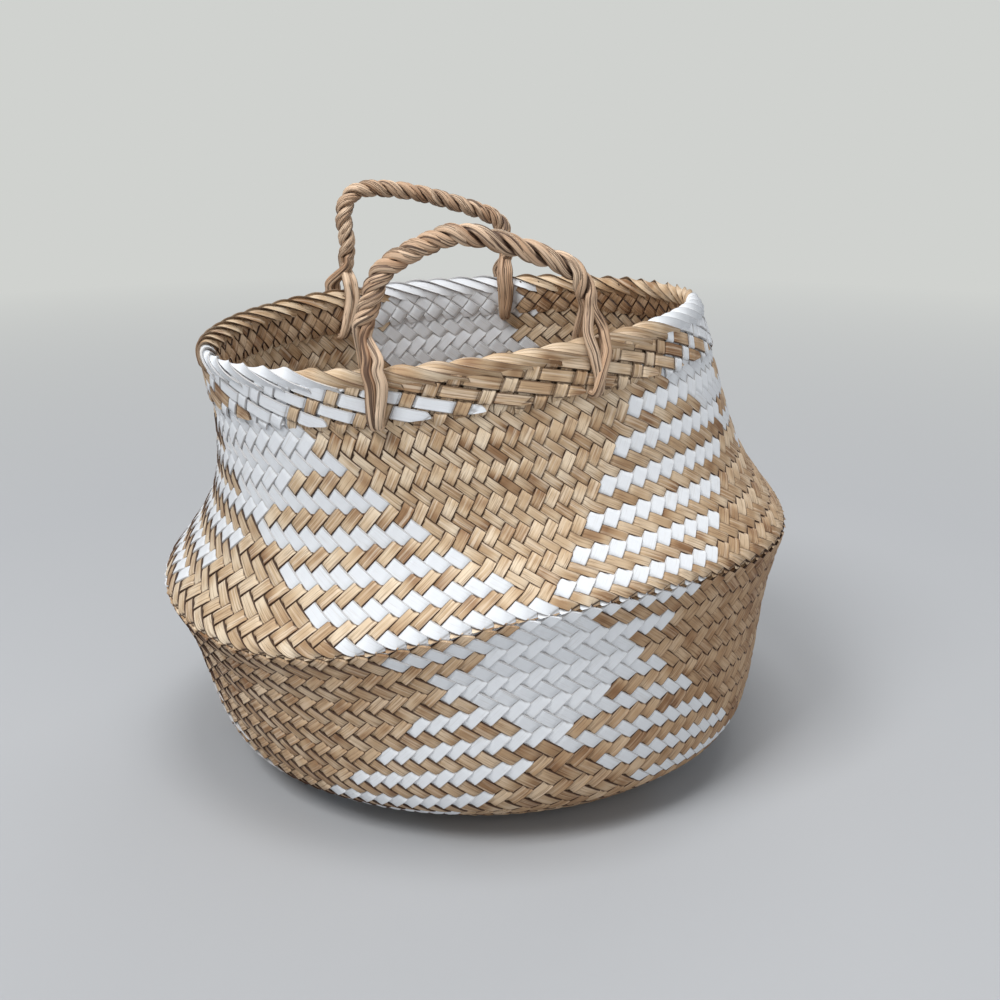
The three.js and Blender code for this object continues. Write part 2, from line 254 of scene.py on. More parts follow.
class GrowthGraph(Graph):
    """A geometry tree that is being written, with a guide, named inputs and one result."""

    # How far apart the patterns of two seeds lie
    APART = 17.0
    KINDS = {int: "NodeSocketInt", float: "NodeSocketFloat", bool: "NodeSocketBool",
             type(None): "NodeSocketMaterial"}

    def __init__(self, name: str, sizes: dict[str, Any]) -> None:
        """Starts the tree.

        Args:
            name: the tree's name.
            sizes: the first value of each input by name, None for a material.
        """
        super().__init__(bpy.data.node_groups.new(name, "GeometryNodeTree"))
        face = self.tree.interface
        face.new_socket("Guide", in_out="INPUT", socket_type="NodeSocketGeometry")
        self.sockets = {}
        for title, value in sizes.items():
            socket = face.new_socket(title, in_out="INPUT", socket_type=self.KINDS[type(value)])
            if value is not None:
                socket.default_value = value
            self.sockets[title] = socket.identifier
        face.new_socket("Result", in_out="OUTPUT", socket_type="NodeSocketGeometry")
        self.given = self.node("NodeGroupInput")

    def mark(self, geometry: Wire, name: str, kind: str, value: Wire) -> Wire:
        """Writes a value on every point of a geometry."""
        return self.node("GeometryNodeStoreNamedAttribute", {"data_type": kind, "domain": "POINT"},
                         {"Geometry": geometry, "Name": name, "Value": value})[0]

    def marked(self, name: str, kind: str = "FLOAT") -> Wire:
        """Reads a value that was written on the points."""
        return self.node("GeometryNodeInputNamedAttribute", {"data_type": kind}, {"Name": name})[0]

    def position(self) -> Wire:
        """The place of each point."""
        return self.node("GeometryNodeInputPosition")[0]

    def moved(self, geometry: Wire, values: dict[str, Wire]) -> Wire:
        """Moves the points of a geometry to a "Position" or by an "Offset"."""
        return self.node("GeometryNodeSetPosition", {}, {"Geometry": geometry, **values})[0]

    def circle(self, sides: Any) -> Wire:
        """A section of radius one."""
        values = {"Resolution": sides, "Radius": 1.0}
        return self.node("GeometryNodeCurvePrimitiveCircle", {"mode": "RADIUS"}, values)[0]

    def tube(self, curve: Wire, section: Wire, scale: Wire | None = None) -> Wire:
        """Draws a section along a curve and closes its ends."""
        values = {"Curve": curve, "Profile Curve": section, "Scale": scale, "Fill Caps": True}
        return self.node("GeometryNodeCurveToMesh", {}, values)[0]

    def chance(self, number: Wire) -> Wire:
        """A fixed chance value between 0 and 1 for each number."""
        values = {"ID": number, "Seed": self.given["Seed"]}
        return self.node("FunctionNodeRandomValue", {"data_type": "FLOAT"}, values)[0]

    def end(self, geometry: Wire) -> None:
        """Makes the outcome real, gives it its material and ends the tree.

        Args:
            geometry: the outcome.
        """
        real = self.node("GeometryNodeRealizeInstances", {}, {"Geometry": geometry})[0]
        done = self.node("GeometryNodeSetMaterial", {}, {"Geometry": real, "Material": self.given["Finish"]})
        self.node("NodeGroupOutput", {}, {0: done[0]})

    def run(self, name: str, guide: bpy.types.Mesh, sizes: dict[str, Any]) -> bpy.types.Object:
        """Runs the tree on a guide and keeps the outcome as a plain mesh.

        Args:
            name: the piece's name.
            guide: the guide's mesh.
            sizes: the inputs to set by name, with spaces as underscores.

        Returns:
            The piece, at the origin.
        """
        carrier = bpy.data.objects.new(name + "_guide", guide)
        bpy.context.scene.collection.objects.link(carrier)
        modifier = carrier.modifiers.new("grow", "NODES")
        modifier.node_group = self.tree
        for key, value in sizes.items():
            modifier[self.sockets[key.replace("_", " ")]] = value
        graph = bpy.context.evaluated_depsgraph_get()
        mesh = bpy.data.meshes.new_from_object(carrier.evaluated_get(graph), depsgraph=graph)
        mesh.name = name
        carrier.modifiers.remove(modifier)
        bpy.data.objects.remove(carrier)
        piece = bpy.data.objects.new(name, mesh)
        bpy.context.scene.collection.objects.link(piece)
        mesh.shade_smooth()
        return piece


@dataclass(frozen=True)
class Grain:
    """A noise drawn out along a strip or a yarn, by its changes per metre along and across and per strip."""

    along: float
    across: float
    strip: float
    detail: float = 2.0
    roughness: float = 0.5


class Shade(Graph):
    """A material that is being written, with a few steps that finishes share."""

    # Painted shade at a strip's edges and where it dives under another: where each mask starts, where it is full, and
    # its strength
    SEAM_EDGE: Mask = (0.79, 0.9, 0.95)
    DIVE_SHADE: Mask = (0.42, 0.1, 0.95)
    HIGHLIGHTS = 0.35

    def __init__(self, name: str) -> None:
        """Starts a material with an empty tree.

        Args:
            name: the material's name.
        """
        self.material = bpy.data.materials.new(name)
        self.material.use_nodes = True
        self.material.node_tree.nodes.clear()
        super().__init__(self.material.node_tree)

    def attribute(self, name: str) -> Wire:
        """A vector that the mesh carries at each point."""
        return self.node("ShaderNodeAttribute", {"attribute_name": name})["Vector"]

    def blend(self, factor: Any, first: Any, second: Any, how: str = "MIX") -> Wire:
        """Mixes two colours."""
        settings = {"data_type": "RGBA", "blend_type": how, "clamp_factor": True}
        return self.node("ShaderNodeMix", settings, {"Factor": factor, "A": first, "B": second})[0]

    def ramp(self, factor: Wire, stops: Sequence[tuple[float, Colour]]) -> Wire:
        """A colour for each value."""
        return self.node("ShaderNodeValToRGB", {"stops": stops}, {0: factor})[0]

    def between(self, value: Wire, low: float, high: float, to_low: float = 0.0, to_high: float = 1.0) -> Wire:
        """Carries a value from one range to another and keeps it inside."""
        ranges = {"From Min": low, "From Max": high, "To Min": to_low, "To Max": to_high}
        return self.node("ShaderNodeMapRange", {}, {"Value": value, **ranges})[0]

    def mask(self, value: Wire, mask: Mask) -> Wire:
        """How strong a mask is at a value."""
        return self.between(value, mask[0], mask[1]) * mask[2]

    def grain(self, place: Sequence[Wire], grain: Grain) -> Wire:
        """A drawn-out noise at the place along, across and number of a strip."""
        spot = self.vector(place[0] * grain.along, place[1] * grain.across, place[2] * grain.strip)
        return self.noise(spot, 1.0, grain.detail, grain.roughness)

    def seam(self, weave: Wire, side: Wire) -> Wire:
        """How much painted shade darkens a strip along its two edges and where it dives under another."""
        edge, dive = (self.maths("ABSOLUTE", value) for value in (side, weave))
        return self.maths("MAXIMUM", self.mask(edge, self.SEAM_EDGE), self.mask(dive, self.DIVE_SHADE))

    def finish(self, colour: Any, roughness: Any, height: Wire, bump: float, depth: float) -> bpy.types.Material:
        """Ends the material in one surface shader.

        Args:
            colour: the base colour.
            roughness: how dull the surface is.
            height: the relief, 0 to 1.
            bump: strength of the relief.
            depth: height of the relief in metres.

        Returns:
            The material.
        """
        relief = self.node("ShaderNodeBump", {}, {"Strength": bump, "Distance": depth, "Height": height})[0]
        shader = self.node("ShaderNodeBsdfPrincipled", {}, {
            "Base Color": colour, "Roughness": roughness, "Specular IOR Level": self.HIGHLIGHTS, "Normal": relief})
        self.node("ShaderNodeOutputMaterial", {}, {"Surface": shader[0]})
        return self.material


@dataclass(frozen=True)
class StrawFinish:
    """Dried seagrass: pale straw to tan, changing along every strip, with fine fibres and painted shade at the edges.

    The basket's right side and the shaded copies of this finish (lower wall, bottom, inside of the rim) are painted
    browner as shade.
    Drifts and cells are given by their number in a metre along a strip and from one strip to the next.
    """

    name: str = "seagrass_strip"
    # Painted shade: how much darker and browner the whole finish is made, for copies that stand in shade
    age: float = 0.0
    # How strong the painted shade at the edges and dives is
    seams: float = 1.0
    light: Colour = srgb(236, 220, 198)
    pale: Colour = srgb(224, 205, 178)
    straw: Colour = srgb(203, 178, 146)
    tan: Colour = srgb(180, 150, 116)
    brown: Colour = srgb(146, 112, 80)
    fibre: Colour = srgb(112, 80, 54)
    # The colour of the painted shade at the edges and dives
    edge: Colour = srgb(54, 30, 17)
    # The colour multiplied in for painted shade
    aged: Colour = (0.58, 0.43, 0.3)
    middle: float = 0.32
    by_strip: float = 0.34
    by_drift: float = 1.0
    by_cell: float = 1.8
    drifts: tuple[float, float] = (14.0, 3.7)
    cells: tuple[float, float] = (75.0, 7.9)
    stops: tuple[float, float, float, float] = (0.05, 0.3, 0.58, 0.9)
    fine: Grain = Grain(60.0, 1700.0, 5.1, roughness=0.6)
    broad: Grain = Grain(25.0, 900.0, 2.3)
    light_fibres: Mask = (0.5, 0.66, 0.5)
    dark_fibres: Mask = (0.52, 0.64, 0.5)
    # Painted shade: the basket's right side, by X, is multiplied browner
    right_side: Mask = (0.0, 0.12, 0.35)
    roughness: tuple[float, float] = (0.54, 0.74)
    relief: float = 0.35 * MM

    def material(self) -> bpy.types.Material:
        """Writes the material, which reads the place along and across each strip.

        Returns:
            The material.
        """
        shade = Shade(self.name)
        place = shade.attribute(PLACE).parts()
        along, _, number = place
        tone, weave, side = shade.attribute(TONE_AND_SHADE).parts()
        drift = shade.noise(shade.vector(along * self.drifts[0], number * self.drifts[1], 0.0), 1.0, 2.0)
        cell = shade.noise(shade.vector(along * self.cells[0], number * self.cells[1], 4.0), 1.0, 1.0)
        light = self.middle + tone * self.by_strip + (drift - 0.5) * self.by_drift + (cell - 0.5) * self.by_cell
        base = shade.ramp(light, list(zip(self.stops, (self.brown, self.tan, self.straw, self.pale))))
        fine, broad = shade.grain(place, self.fine), shade.grain(place, self.broad)
        colour = shade.blend(shade.mask(broad, self.light_fibres), base, self.light)
        colour = shade.blend(shade.mask(fine, self.dark_fibres), colour, self.fibre)
        beside = shade.node("ShaderNodeTexCoord")["Object"].parts()[0]
        # Painted shade: the right side and the shaded copies of the finish are multiplied browner
        colour = shade.blend(shade.mask(beside, self.right_side) + self.age, colour, self.aged, "MULTIPLY")
        # Painted shade along the edges and where the strip dives under another
        colour = shade.blend(shade.seam(weave, side) * self.seams, colour, self.edge)
        rough = shade.between(fine, 0.3, 0.7, *self.roughness)
        return shade.finish(colour, rough, fine * 0.5 + broad, 0.7, self.relief)


@dataclass(frozen=True)
class PaintFinish:
    """White matt paint on seagrass, thin enough to show the fibres, with painted shade at the strips' edges and where
    they dive under.
    """

    name: str = "painted_strip"
    white: Colour = srgb(223, 226, 230)
    worn: Colour = srgb(198, 195, 190)
    # The colour of the painted shade at the edges and dives, and how strong it is
    edge: Colour = srgb(126, 116, 106)
    seams: float = 0.5
    fine: Grain = Grain(50.0, 1800.0, 5.1, 3.0, 0.6)
    cloud: Grain = Grain(40.0, 150.0, 1.7, 3.0, 0.6)
    wear: Mask = (0.54, 0.7, 0.6)
    roughness: float = 0.55
    relief: float = 0.3 * MM

    def material(self) -> bpy.types.Material:
        """Writes the material, which reads the place along and across each strip.

        Returns:
            The material.
        """
        shade = Shade(self.name)
        place = shade.attribute(PLACE).parts()
        _, weave, side = shade.attribute(TONE_AND_SHADE).parts()
        fine = shade.grain(place, self.fine)
        worn = shade.mask(fine * 0.6 + shade.grain(place, self.cloud) * 0.4, self.wear)
        colour = shade.blend(worn, self.white, self.worn)
        # Painted shade along the edges and where the strip dives under another
        colour = shade.blend(shade.seam(weave, side) * self.seams, colour, self.edge)
        return shade.finish(colour, self.roughness, fine, 0.35, self.relief)


@dataclass(frozen=True)
class RopeFinish:
    """Twisted seagrass leaves: warm tan with long pale fibres, and painted shade in thin folds, in the yarns' creases
    and deep between the yarns.
    """

    name: str = "seagrass_yarn"
    pale: Colour = srgb(226, 200, 172)
    tan: Colour = srgb(184, 150, 120)
    brown: Colour = srgb(138, 102, 76)
    # The colour of the painted shade in the folds, creases and hollows
    crease: Colour = srgb(52, 26, 15)
    leaf: Grain = Grain(22.0, 260.0, 3.1)
    fine: Grain = Grain(40.0, 1500.0, 5.7, 3.0, 0.6)
    by_leaf: float = 1.4
    by_yarn: float = 0.25
    stops: tuple[float, float, float] = (0.05, 0.45, 0.95)
    folds: tuple[Grain, Grain] = (Grain(12.0, 420.0, 9.3, 1.0), Grain(26.0, 900.0, 9.3, 1.0))
    fold_width: tuple[float, float] = (0.035, 0.012)
    # How strong the painted shade along the two kinds of fold line is
    fold_shade: tuple[float, float] = (0.8, 0.55)
    dark_fibres: Mask = (0.5, 0.7, 0.45)
    # Painted shade: darker in each yarn's creases, by its groove, and deep between the yarns, by the distance from the
    # rope's middle line
    groove_shade: Mask = (0.36, 0.14, 0.85)
    hollow_shade: Mask = (3.55 * MM, 3.1 * MM, 0.85)
    roughness: float = 0.58
    relief: float = 0.5 * MM

    def material(self) -> bpy.types.Material:
        """Writes the material, which reads the place along and round each yarn.

        Returns:
            The material.
        """
        shade = Shade(self.name)
        place = shade.attribute(PLACE).parts()
        tone, groove, depth = shade.attribute(TONE_AND_SHADE).parts()
        leaf, fine = shade.grain(place, self.leaf), shade.grain(place, self.fine)
        light = (leaf - 0.5) * self.by_leaf + tone * self.by_yarn + 0.5
        base = shade.ramp(light, list(zip(self.stops, (self.brown, self.tan, self.pale))))
        colour = shade.blend(shade.mask(fine, self.dark_fibres), base, self.brown)
        lines = [shade.maths("ABSOLUTE", shade.grain(place, grain) - 0.5) for grain in self.folds]
        folds = [shade.between(line, *self.fold_width) for line in lines]
        # Painted shade along the fold lines
        for fold, strength in zip(folds[::-1], self.fold_shade[::-1]):
            colour = shade.blend(fold * strength, colour, self.crease)
        # Painted shade in the yarns' creases and deep in the hollows between them
        colour = shade.blend(shade.mask(groove, self.groove_shade), colour, self.crease)
        colour = shade.blend(shade.mask(depth, self.hollow_shade), colour, self.crease)
        return shade.finish(colour, self.roughness, fine * 0.4 + leaf - folds[0] * 0.7, 0.8, self.relief)


def spline(points: Sequence[Any], share: float) -> Vector:
    """A point of the smooth line through other points.

    Args:
        points: the points, in two or three dimensions.
        share: how far along, 0 to 1, with every span counting the same.

    Returns:
        The point.
    """
    spans = len(points) - 1
    index = max(0, min(int(share * spans), spans - 1))
    w = share * spans - index
    a, b, c, d = (Vector(points[max(0, min(spans, index + k))]) for k in (-1, 0, 1, 2))
    v0, v1 = (c - a) / 2, (d - b) / 2
    return (2 * b - 2 * c + v0 + v1) * w**3 + (3 * c - 3 * b - 2 * v0 - v1) * w**2 + v0 * w + b


def read(table: Sequence[tuple[float, float]], at: float) -> float:
    """The value at a place, from a table.

    Args:
        table: places and values, in rising order of the places.
        at: the place.

    Returns:
        The value, the first or last one past the table's ends.
    """
    index = min(max(bisect.bisect([place for place, _ in table], at), 1), len(table) - 1)
    (start, low), (end, high) = table[index - 1], table[index]
    return low + (high - low) * min(1.0, max(0.0, (at - start) / (end - start)))


@dataclass
class Line:
    """A line through points in radius and height, read by the length along it."""

    points: list[tuple[float, float]]

    def __post_init__(self) -> None:
        """Adds up the lengths."""
        self.arcs = [0.0]
        for here, there in zip(self.points, self.points[1:]):
            self.arcs.append(self.arcs[-1] + math.dist(here, there))

    def at(self, arc: float) -> tuple[float, float]:
        """The point at a length along the line, which goes on straight past its ends.

        Args:
            arc: the length.

        Returns:
            Radius and height.
        """
        index = min(max(bisect.bisect(self.arcs, arc) - 1, 0), len(self.arcs) - 2)
        (r0, h0), (r1, h1) = self.points[index], self.points[index + 1]
        share = (arc - self.arcs[index]) / max(self.arcs[index + 1] - self.arcs[index], 1e-9)
        return r0 + (r1 - r0) * share, h0 + (h1 - h0) * share


@dataclass
class Outline:
    """The line of the wall from the edge of the bottom to the rim, and the slouch of the used basket.

    The line is in radius and height, and its two parts are written in millimetres. slouch() moves a
    point of the true round basket to its real place.
    """

    lower: tuple[tuple[float, float], ...] = ((90, 0), (114, 10.5), (129, 26), (140, 74.5), (150, 101))
    upper: tuple[tuple[float, float], ...] = ((150, 101), (130, 131), (121.5, 158), (116, 209))
    wall: float = 2.8 * MM
    belly_h: float = 101 * MM
    belly_r: float = 150 * MM
    rim_h: float = 209 * MM
    rim_r: float = 116 * MM
    belly_shift: tuple[float, float] = (-5.6 * MM, 7.2 * MM)
    rim_shift: tuple[float, float] = (-16.9 * MM, -0.9 * MM)
    bow: float = 5.3 * MM
    belly_lean: tuple[float, float] = (6.5, -1.6)
    rim_lean: tuple[float, float] = (4.2, -1.0)
    belly_oval: tuple[float, float] = (2.3 * MM, 25)
    belly_wave: tuple[float, float] = (6.2 * MM, 52)
    rim_oval: tuple[float, float] = (5 * MM, 68)
    rim_dip: tuple[float, float] = (1.6 * MM, -40)
    fold_radius: float = 3 * MM
    fine: int = 240

    def __post_init__(self) -> None:
        """Works out the line in the middle of the wall."""
        self.line = Line([self._inset(pairs, step / self.fine)
                          for pairs in (self.lower, self.upper) for step in range(self.fine + 1)])

    def _inset(self, pairs: tuple[tuple[float, float], ...], share: float) -> tuple[float, float]:
        """The line's point moved in by half the wall.

        Args:
            pairs: one part of the line.
            share: how far along it, 0 to 1.

        Returns:
            Radius and height.
        """
        step = 1e-3
        ahead = spline(pairs, min(1, share + step)) - spline(pairs, max(0, share - step))
        ahead.normalize()
        point = spline(pairs, share) * MM + Vector((-ahead.y, ahead.x)) * self.wall / 2
        return point.x, point.y

    @property
    def belly_arc(self) -> float:
        """Length of the line up to the belly fold."""
        return self.line.arcs[self.fine]

    def at(self, arc: float) -> tuple[float, float]:
        """Radius and height at a length along the line, with the belly fold slightly rounded."""
        near = [self.line.at(arc + self.fold_radius * k / 2) for k in (-2, -1, 0, 1, 2)]
        return sum(r for r, _ in near) / len(near), sum(h for _, h in near) / len(near)

    def level(self, height: float) -> float:
        """Finds the middle of the wall above the belly fold.

        Args:
            height: the height.

        Returns:
            The radius there.
        """
        low, high = self.belly_arc, self.line.arcs[-1]
        for _ in range(40):
            middle = (low + high) / 2
            low, high = (middle, high) if self.line.at(middle)[1] < height else (low, middle)
        return self.line.at(low)[0]

    def slouch_flat(self, x: float, y: float, height: float) -> Vector:
        """Moves a point given by X and Y."""
        return self.slouch(math.hypot(x, y), math.atan2(y, x), height)

    def slouch(self, radius: float, angle: float, height: float) -> Vector:
        """Moves a point of the true basket to its place in the slouched one.

        Args:
            radius: its distance from the middle.
            angle: its angle from +X, in radians.
            height: its height.

        Returns:
            The place.
        """
        belly = min(1.0, max(0.0, (height - self.wall) / (self.belly_h - self.wall)))
        rim = min(1.0, max(0.0, (height - self.belly_h) / (self.rim_h - self.belly_h)))
        low = belly * (1 - rim)

        def lobes(count: int, at: float) -> float:
            """A wave with so many lobes round the basket."""
            return math.cos(count * (angle - math.radians(at)))

        oval = low * self.belly_oval[0] / self.belly_r * lobes(2, self.belly_oval[1])
        oval += rim * self.rim_oval[0] / self.rim_r * lobes(2, self.rim_oval[1])
        x, y = radius * math.cos(angle) * (1 + oval), radius * math.sin(angle) * (1 + oval)
        lean_x, lean_y = (math.radians(b * low + r * rim) for b, r in zip(self.belly_lean, self.rim_lean))
        bow = 4 * rim * (1 - rim) * self.bow
        rise = low * self.belly_wave[0] * lobes(3, self.belly_wave[1])
        rise += rim * self.rim_dip[0] * lobes(2, self.rim_dip[1])
        return Vector((
            self.belly_shift[0] * low + self.rim_shift[0] * rim + bow + x * math.cos(lean_x),
            self.belly_shift[1] * low + self.rim_shift[1] * rim + y * math.cos(lean_y),
            height + x * math.sin(lean_x) + y * math.sin(lean_y) + rise,
        ))


def grid_mesh(name: str, vertices: list[Vector], uvs: list[tuple[float, float]], wide: int) -> bpy.types.Mesh:
    """Makes a guide surface from a grid of points.

    Args:
        name: the mesh's name.
        vertices: its points, row by row.
        uvs: the two guide values of each point.
        wide: the number of points in a row.

    Returns:
        The mesh of four-sided faces, with the UV map "guide".
    """
    firsts = [row + column for row in range(0, len(vertices) - wide, wide) for column in range(wide - 1)]
    mesh = bpy.data.meshes.new(name)
    mesh.from_pydata(vertices, [], [(first, first + 1, first + wide + 1, first + wide) for first in firsts])
    layer = mesh.uv_layers.new(name="guide")
    for loop in mesh.loops:
        layer.data[loop.index].uv = uvs[loop.vertex_index]
    return mesh


class Paint(Enum):
    """Which strips of a family a piece holds."""

    BARE = 0
    WHITE = 1


class Rise(Enum):
    """The way in which a family of strips on the bias climbs round the basket."""

    RIGHT = 1
    LEFT = -1

    def sizes(self, strips: int) -> dict[str, Any]:
        """Gives the inputs of the plaiting that belong to this way.

        Args:
            strips: the strips of each family.

        Returns:
            The inputs by name.
        """
        side = float(self.value)
        lean = side / (2 * strips)
        return dict(Strips=strips, Other_Strips=strips, Lean=lean, Other_Lean=-lean, Own_Step=-side,
                    Other_Step=side, Side=side)


@dataclass(frozen=True)
class Crowding:
    """How unevenly the strips stand in the worn basket: their shift round it and up the wall.

    The tables run round the basket in equal steps from the side at +X. Each entry holds the shift
    low on the wall, at the belly fold and high up, in strip widths and in rows. Above the fold the
    bare strips between two painted bands are narrower, and the ones after them wider again.
    """

    strips: int = 96
    round_it: tuple[tuple[float, float, float], ...] = (
        (0.2, -0.5, 0.2), (0, 0, 0), (0, 0, 0), (0, 0, 0), (0, 0, 0), (0.2, 0.1, 0), (1.3, 0.4, -0.2),
        (2.6, 1.1, -0.3), (1.7, 1.3, 0.3), (0.6, 0.6, 0), (1.3, -0.2, -0.3), (1.1, -1.3, 0.5))
    upward: tuple[tuple[float, float, float], ...] = (
        (0, 0, 0.3), (0, 0, 0), (0, 0, 0), (0, 0, 0), (0, 0, 0), (0, 0, 0), (0, 0, 0.1), (-0.5, -0.2, 0.6),
        (-1.9, -1.0, 1.6), (-1.4, 0.1, 0.5), (0.5, -0.8, -0.5), (0.2, -0.7, 0.6))
    fold_row: float = 41.0
    reach: float = 22.0
    settle: float = 14.0
    narrow: float = 0.19
    narrow_row: float = 43.0
    band_edge: float = 96.5
    wide_run: float = 45.0

    def column(self, turn: float) -> list[Vector]:
        """Reads both tables at a place round the basket.

        Args:
            turn: the place, 0 to 1.

        Returns:
            The shift round the basket and up the wall, each at three heights.
        """
        rings = ([table[-1], *table, table[0], table[1]] for table in (self.round_it, self.upward))
        return [spline(ring, (1 + (turn % 1) * (len(ring) - 3)) / (len(ring) - 1)) for ring in rings]

    def weights(self, row: float) -> Vector:
        """How much the three heights count at a row."""
        level = math.tanh((row - self.fold_row) / self.reach)
        return Vector((level * (level - 1) / 2, 1 - level * level, level * (level + 1) / 2))

    def shift(self, column: list[Vector], turn: float, row: float) -> tuple[float, float]:
        """Gives the shift of a point of the plaiting.

        Args:
            column: the tables' entries at this place round the basket.
            turn: the place, 0 to 1.
            row: the row of crossings.

        Returns:
            The shift as a share of the turn, and in rows.
        """
        weights = self.weights(row)
        moved = weights.dot(column[0])
        bare = max(0.0, row - self.narrow_row)
        for lap in (0, 1):
            past = (turn + lap) * self.strips - self.band_edge + row / 2
            if 0 < past < bare + self.wide_run:
                moved -= self.narrow * min(past, bare * (1 - max(0.0, past - bare) / self.wide_run))
        return moved / self.strips, weights.dot(column[1]) * min(1.0, row / self.settle)


@dataclass
class Surface:
    """A guide surface round the basket. Its UV map holds the turn, 0 to 1, and the share of the rows."""

    outline: Outline
    rows: float
    place: Callable[[float], tuple[float, float]]
    start_angle: float = 0.0
    around: int = 360
    up: int = 40
    crowding: Crowding | None = None
    drawn: bpy.types.Mesh | None = None

    def mesh(self, name: str) -> bpy.types.Mesh:
        """Draws the surface when it is first asked for.

        Args:
            name: the mesh's name.

        Returns:
            The mesh, the same one for every piece on the surface.
        """
        if self.drawn:
            return self.drawn
        turns = [column / self.around for column in range(self.around + 1)]
        columns = [self.crowding.column(turn) if self.crowding else None for turn in turns]
        vertices, uvs = [], []
        for share in (step / self.up for step in range(self.up + 1)):
            for turn, column in zip(turns, columns):
                shift = climb = 0.0
                if self.crowding:
                    shift, climb = self.crowding.shift(column, turn, share * self.rows)
                radius, height = self.place(share * self.rows + climb)
                angle = math.radians(self.start_angle) + 2 * math.pi * (turn + shift)
                vertices.append(self.outline.slouch(radius, angle, height))
                uvs.append((turn, share))
        self.drawn = grid_mesh(name, vertices, uvs, len(turns))
        return self.drawn


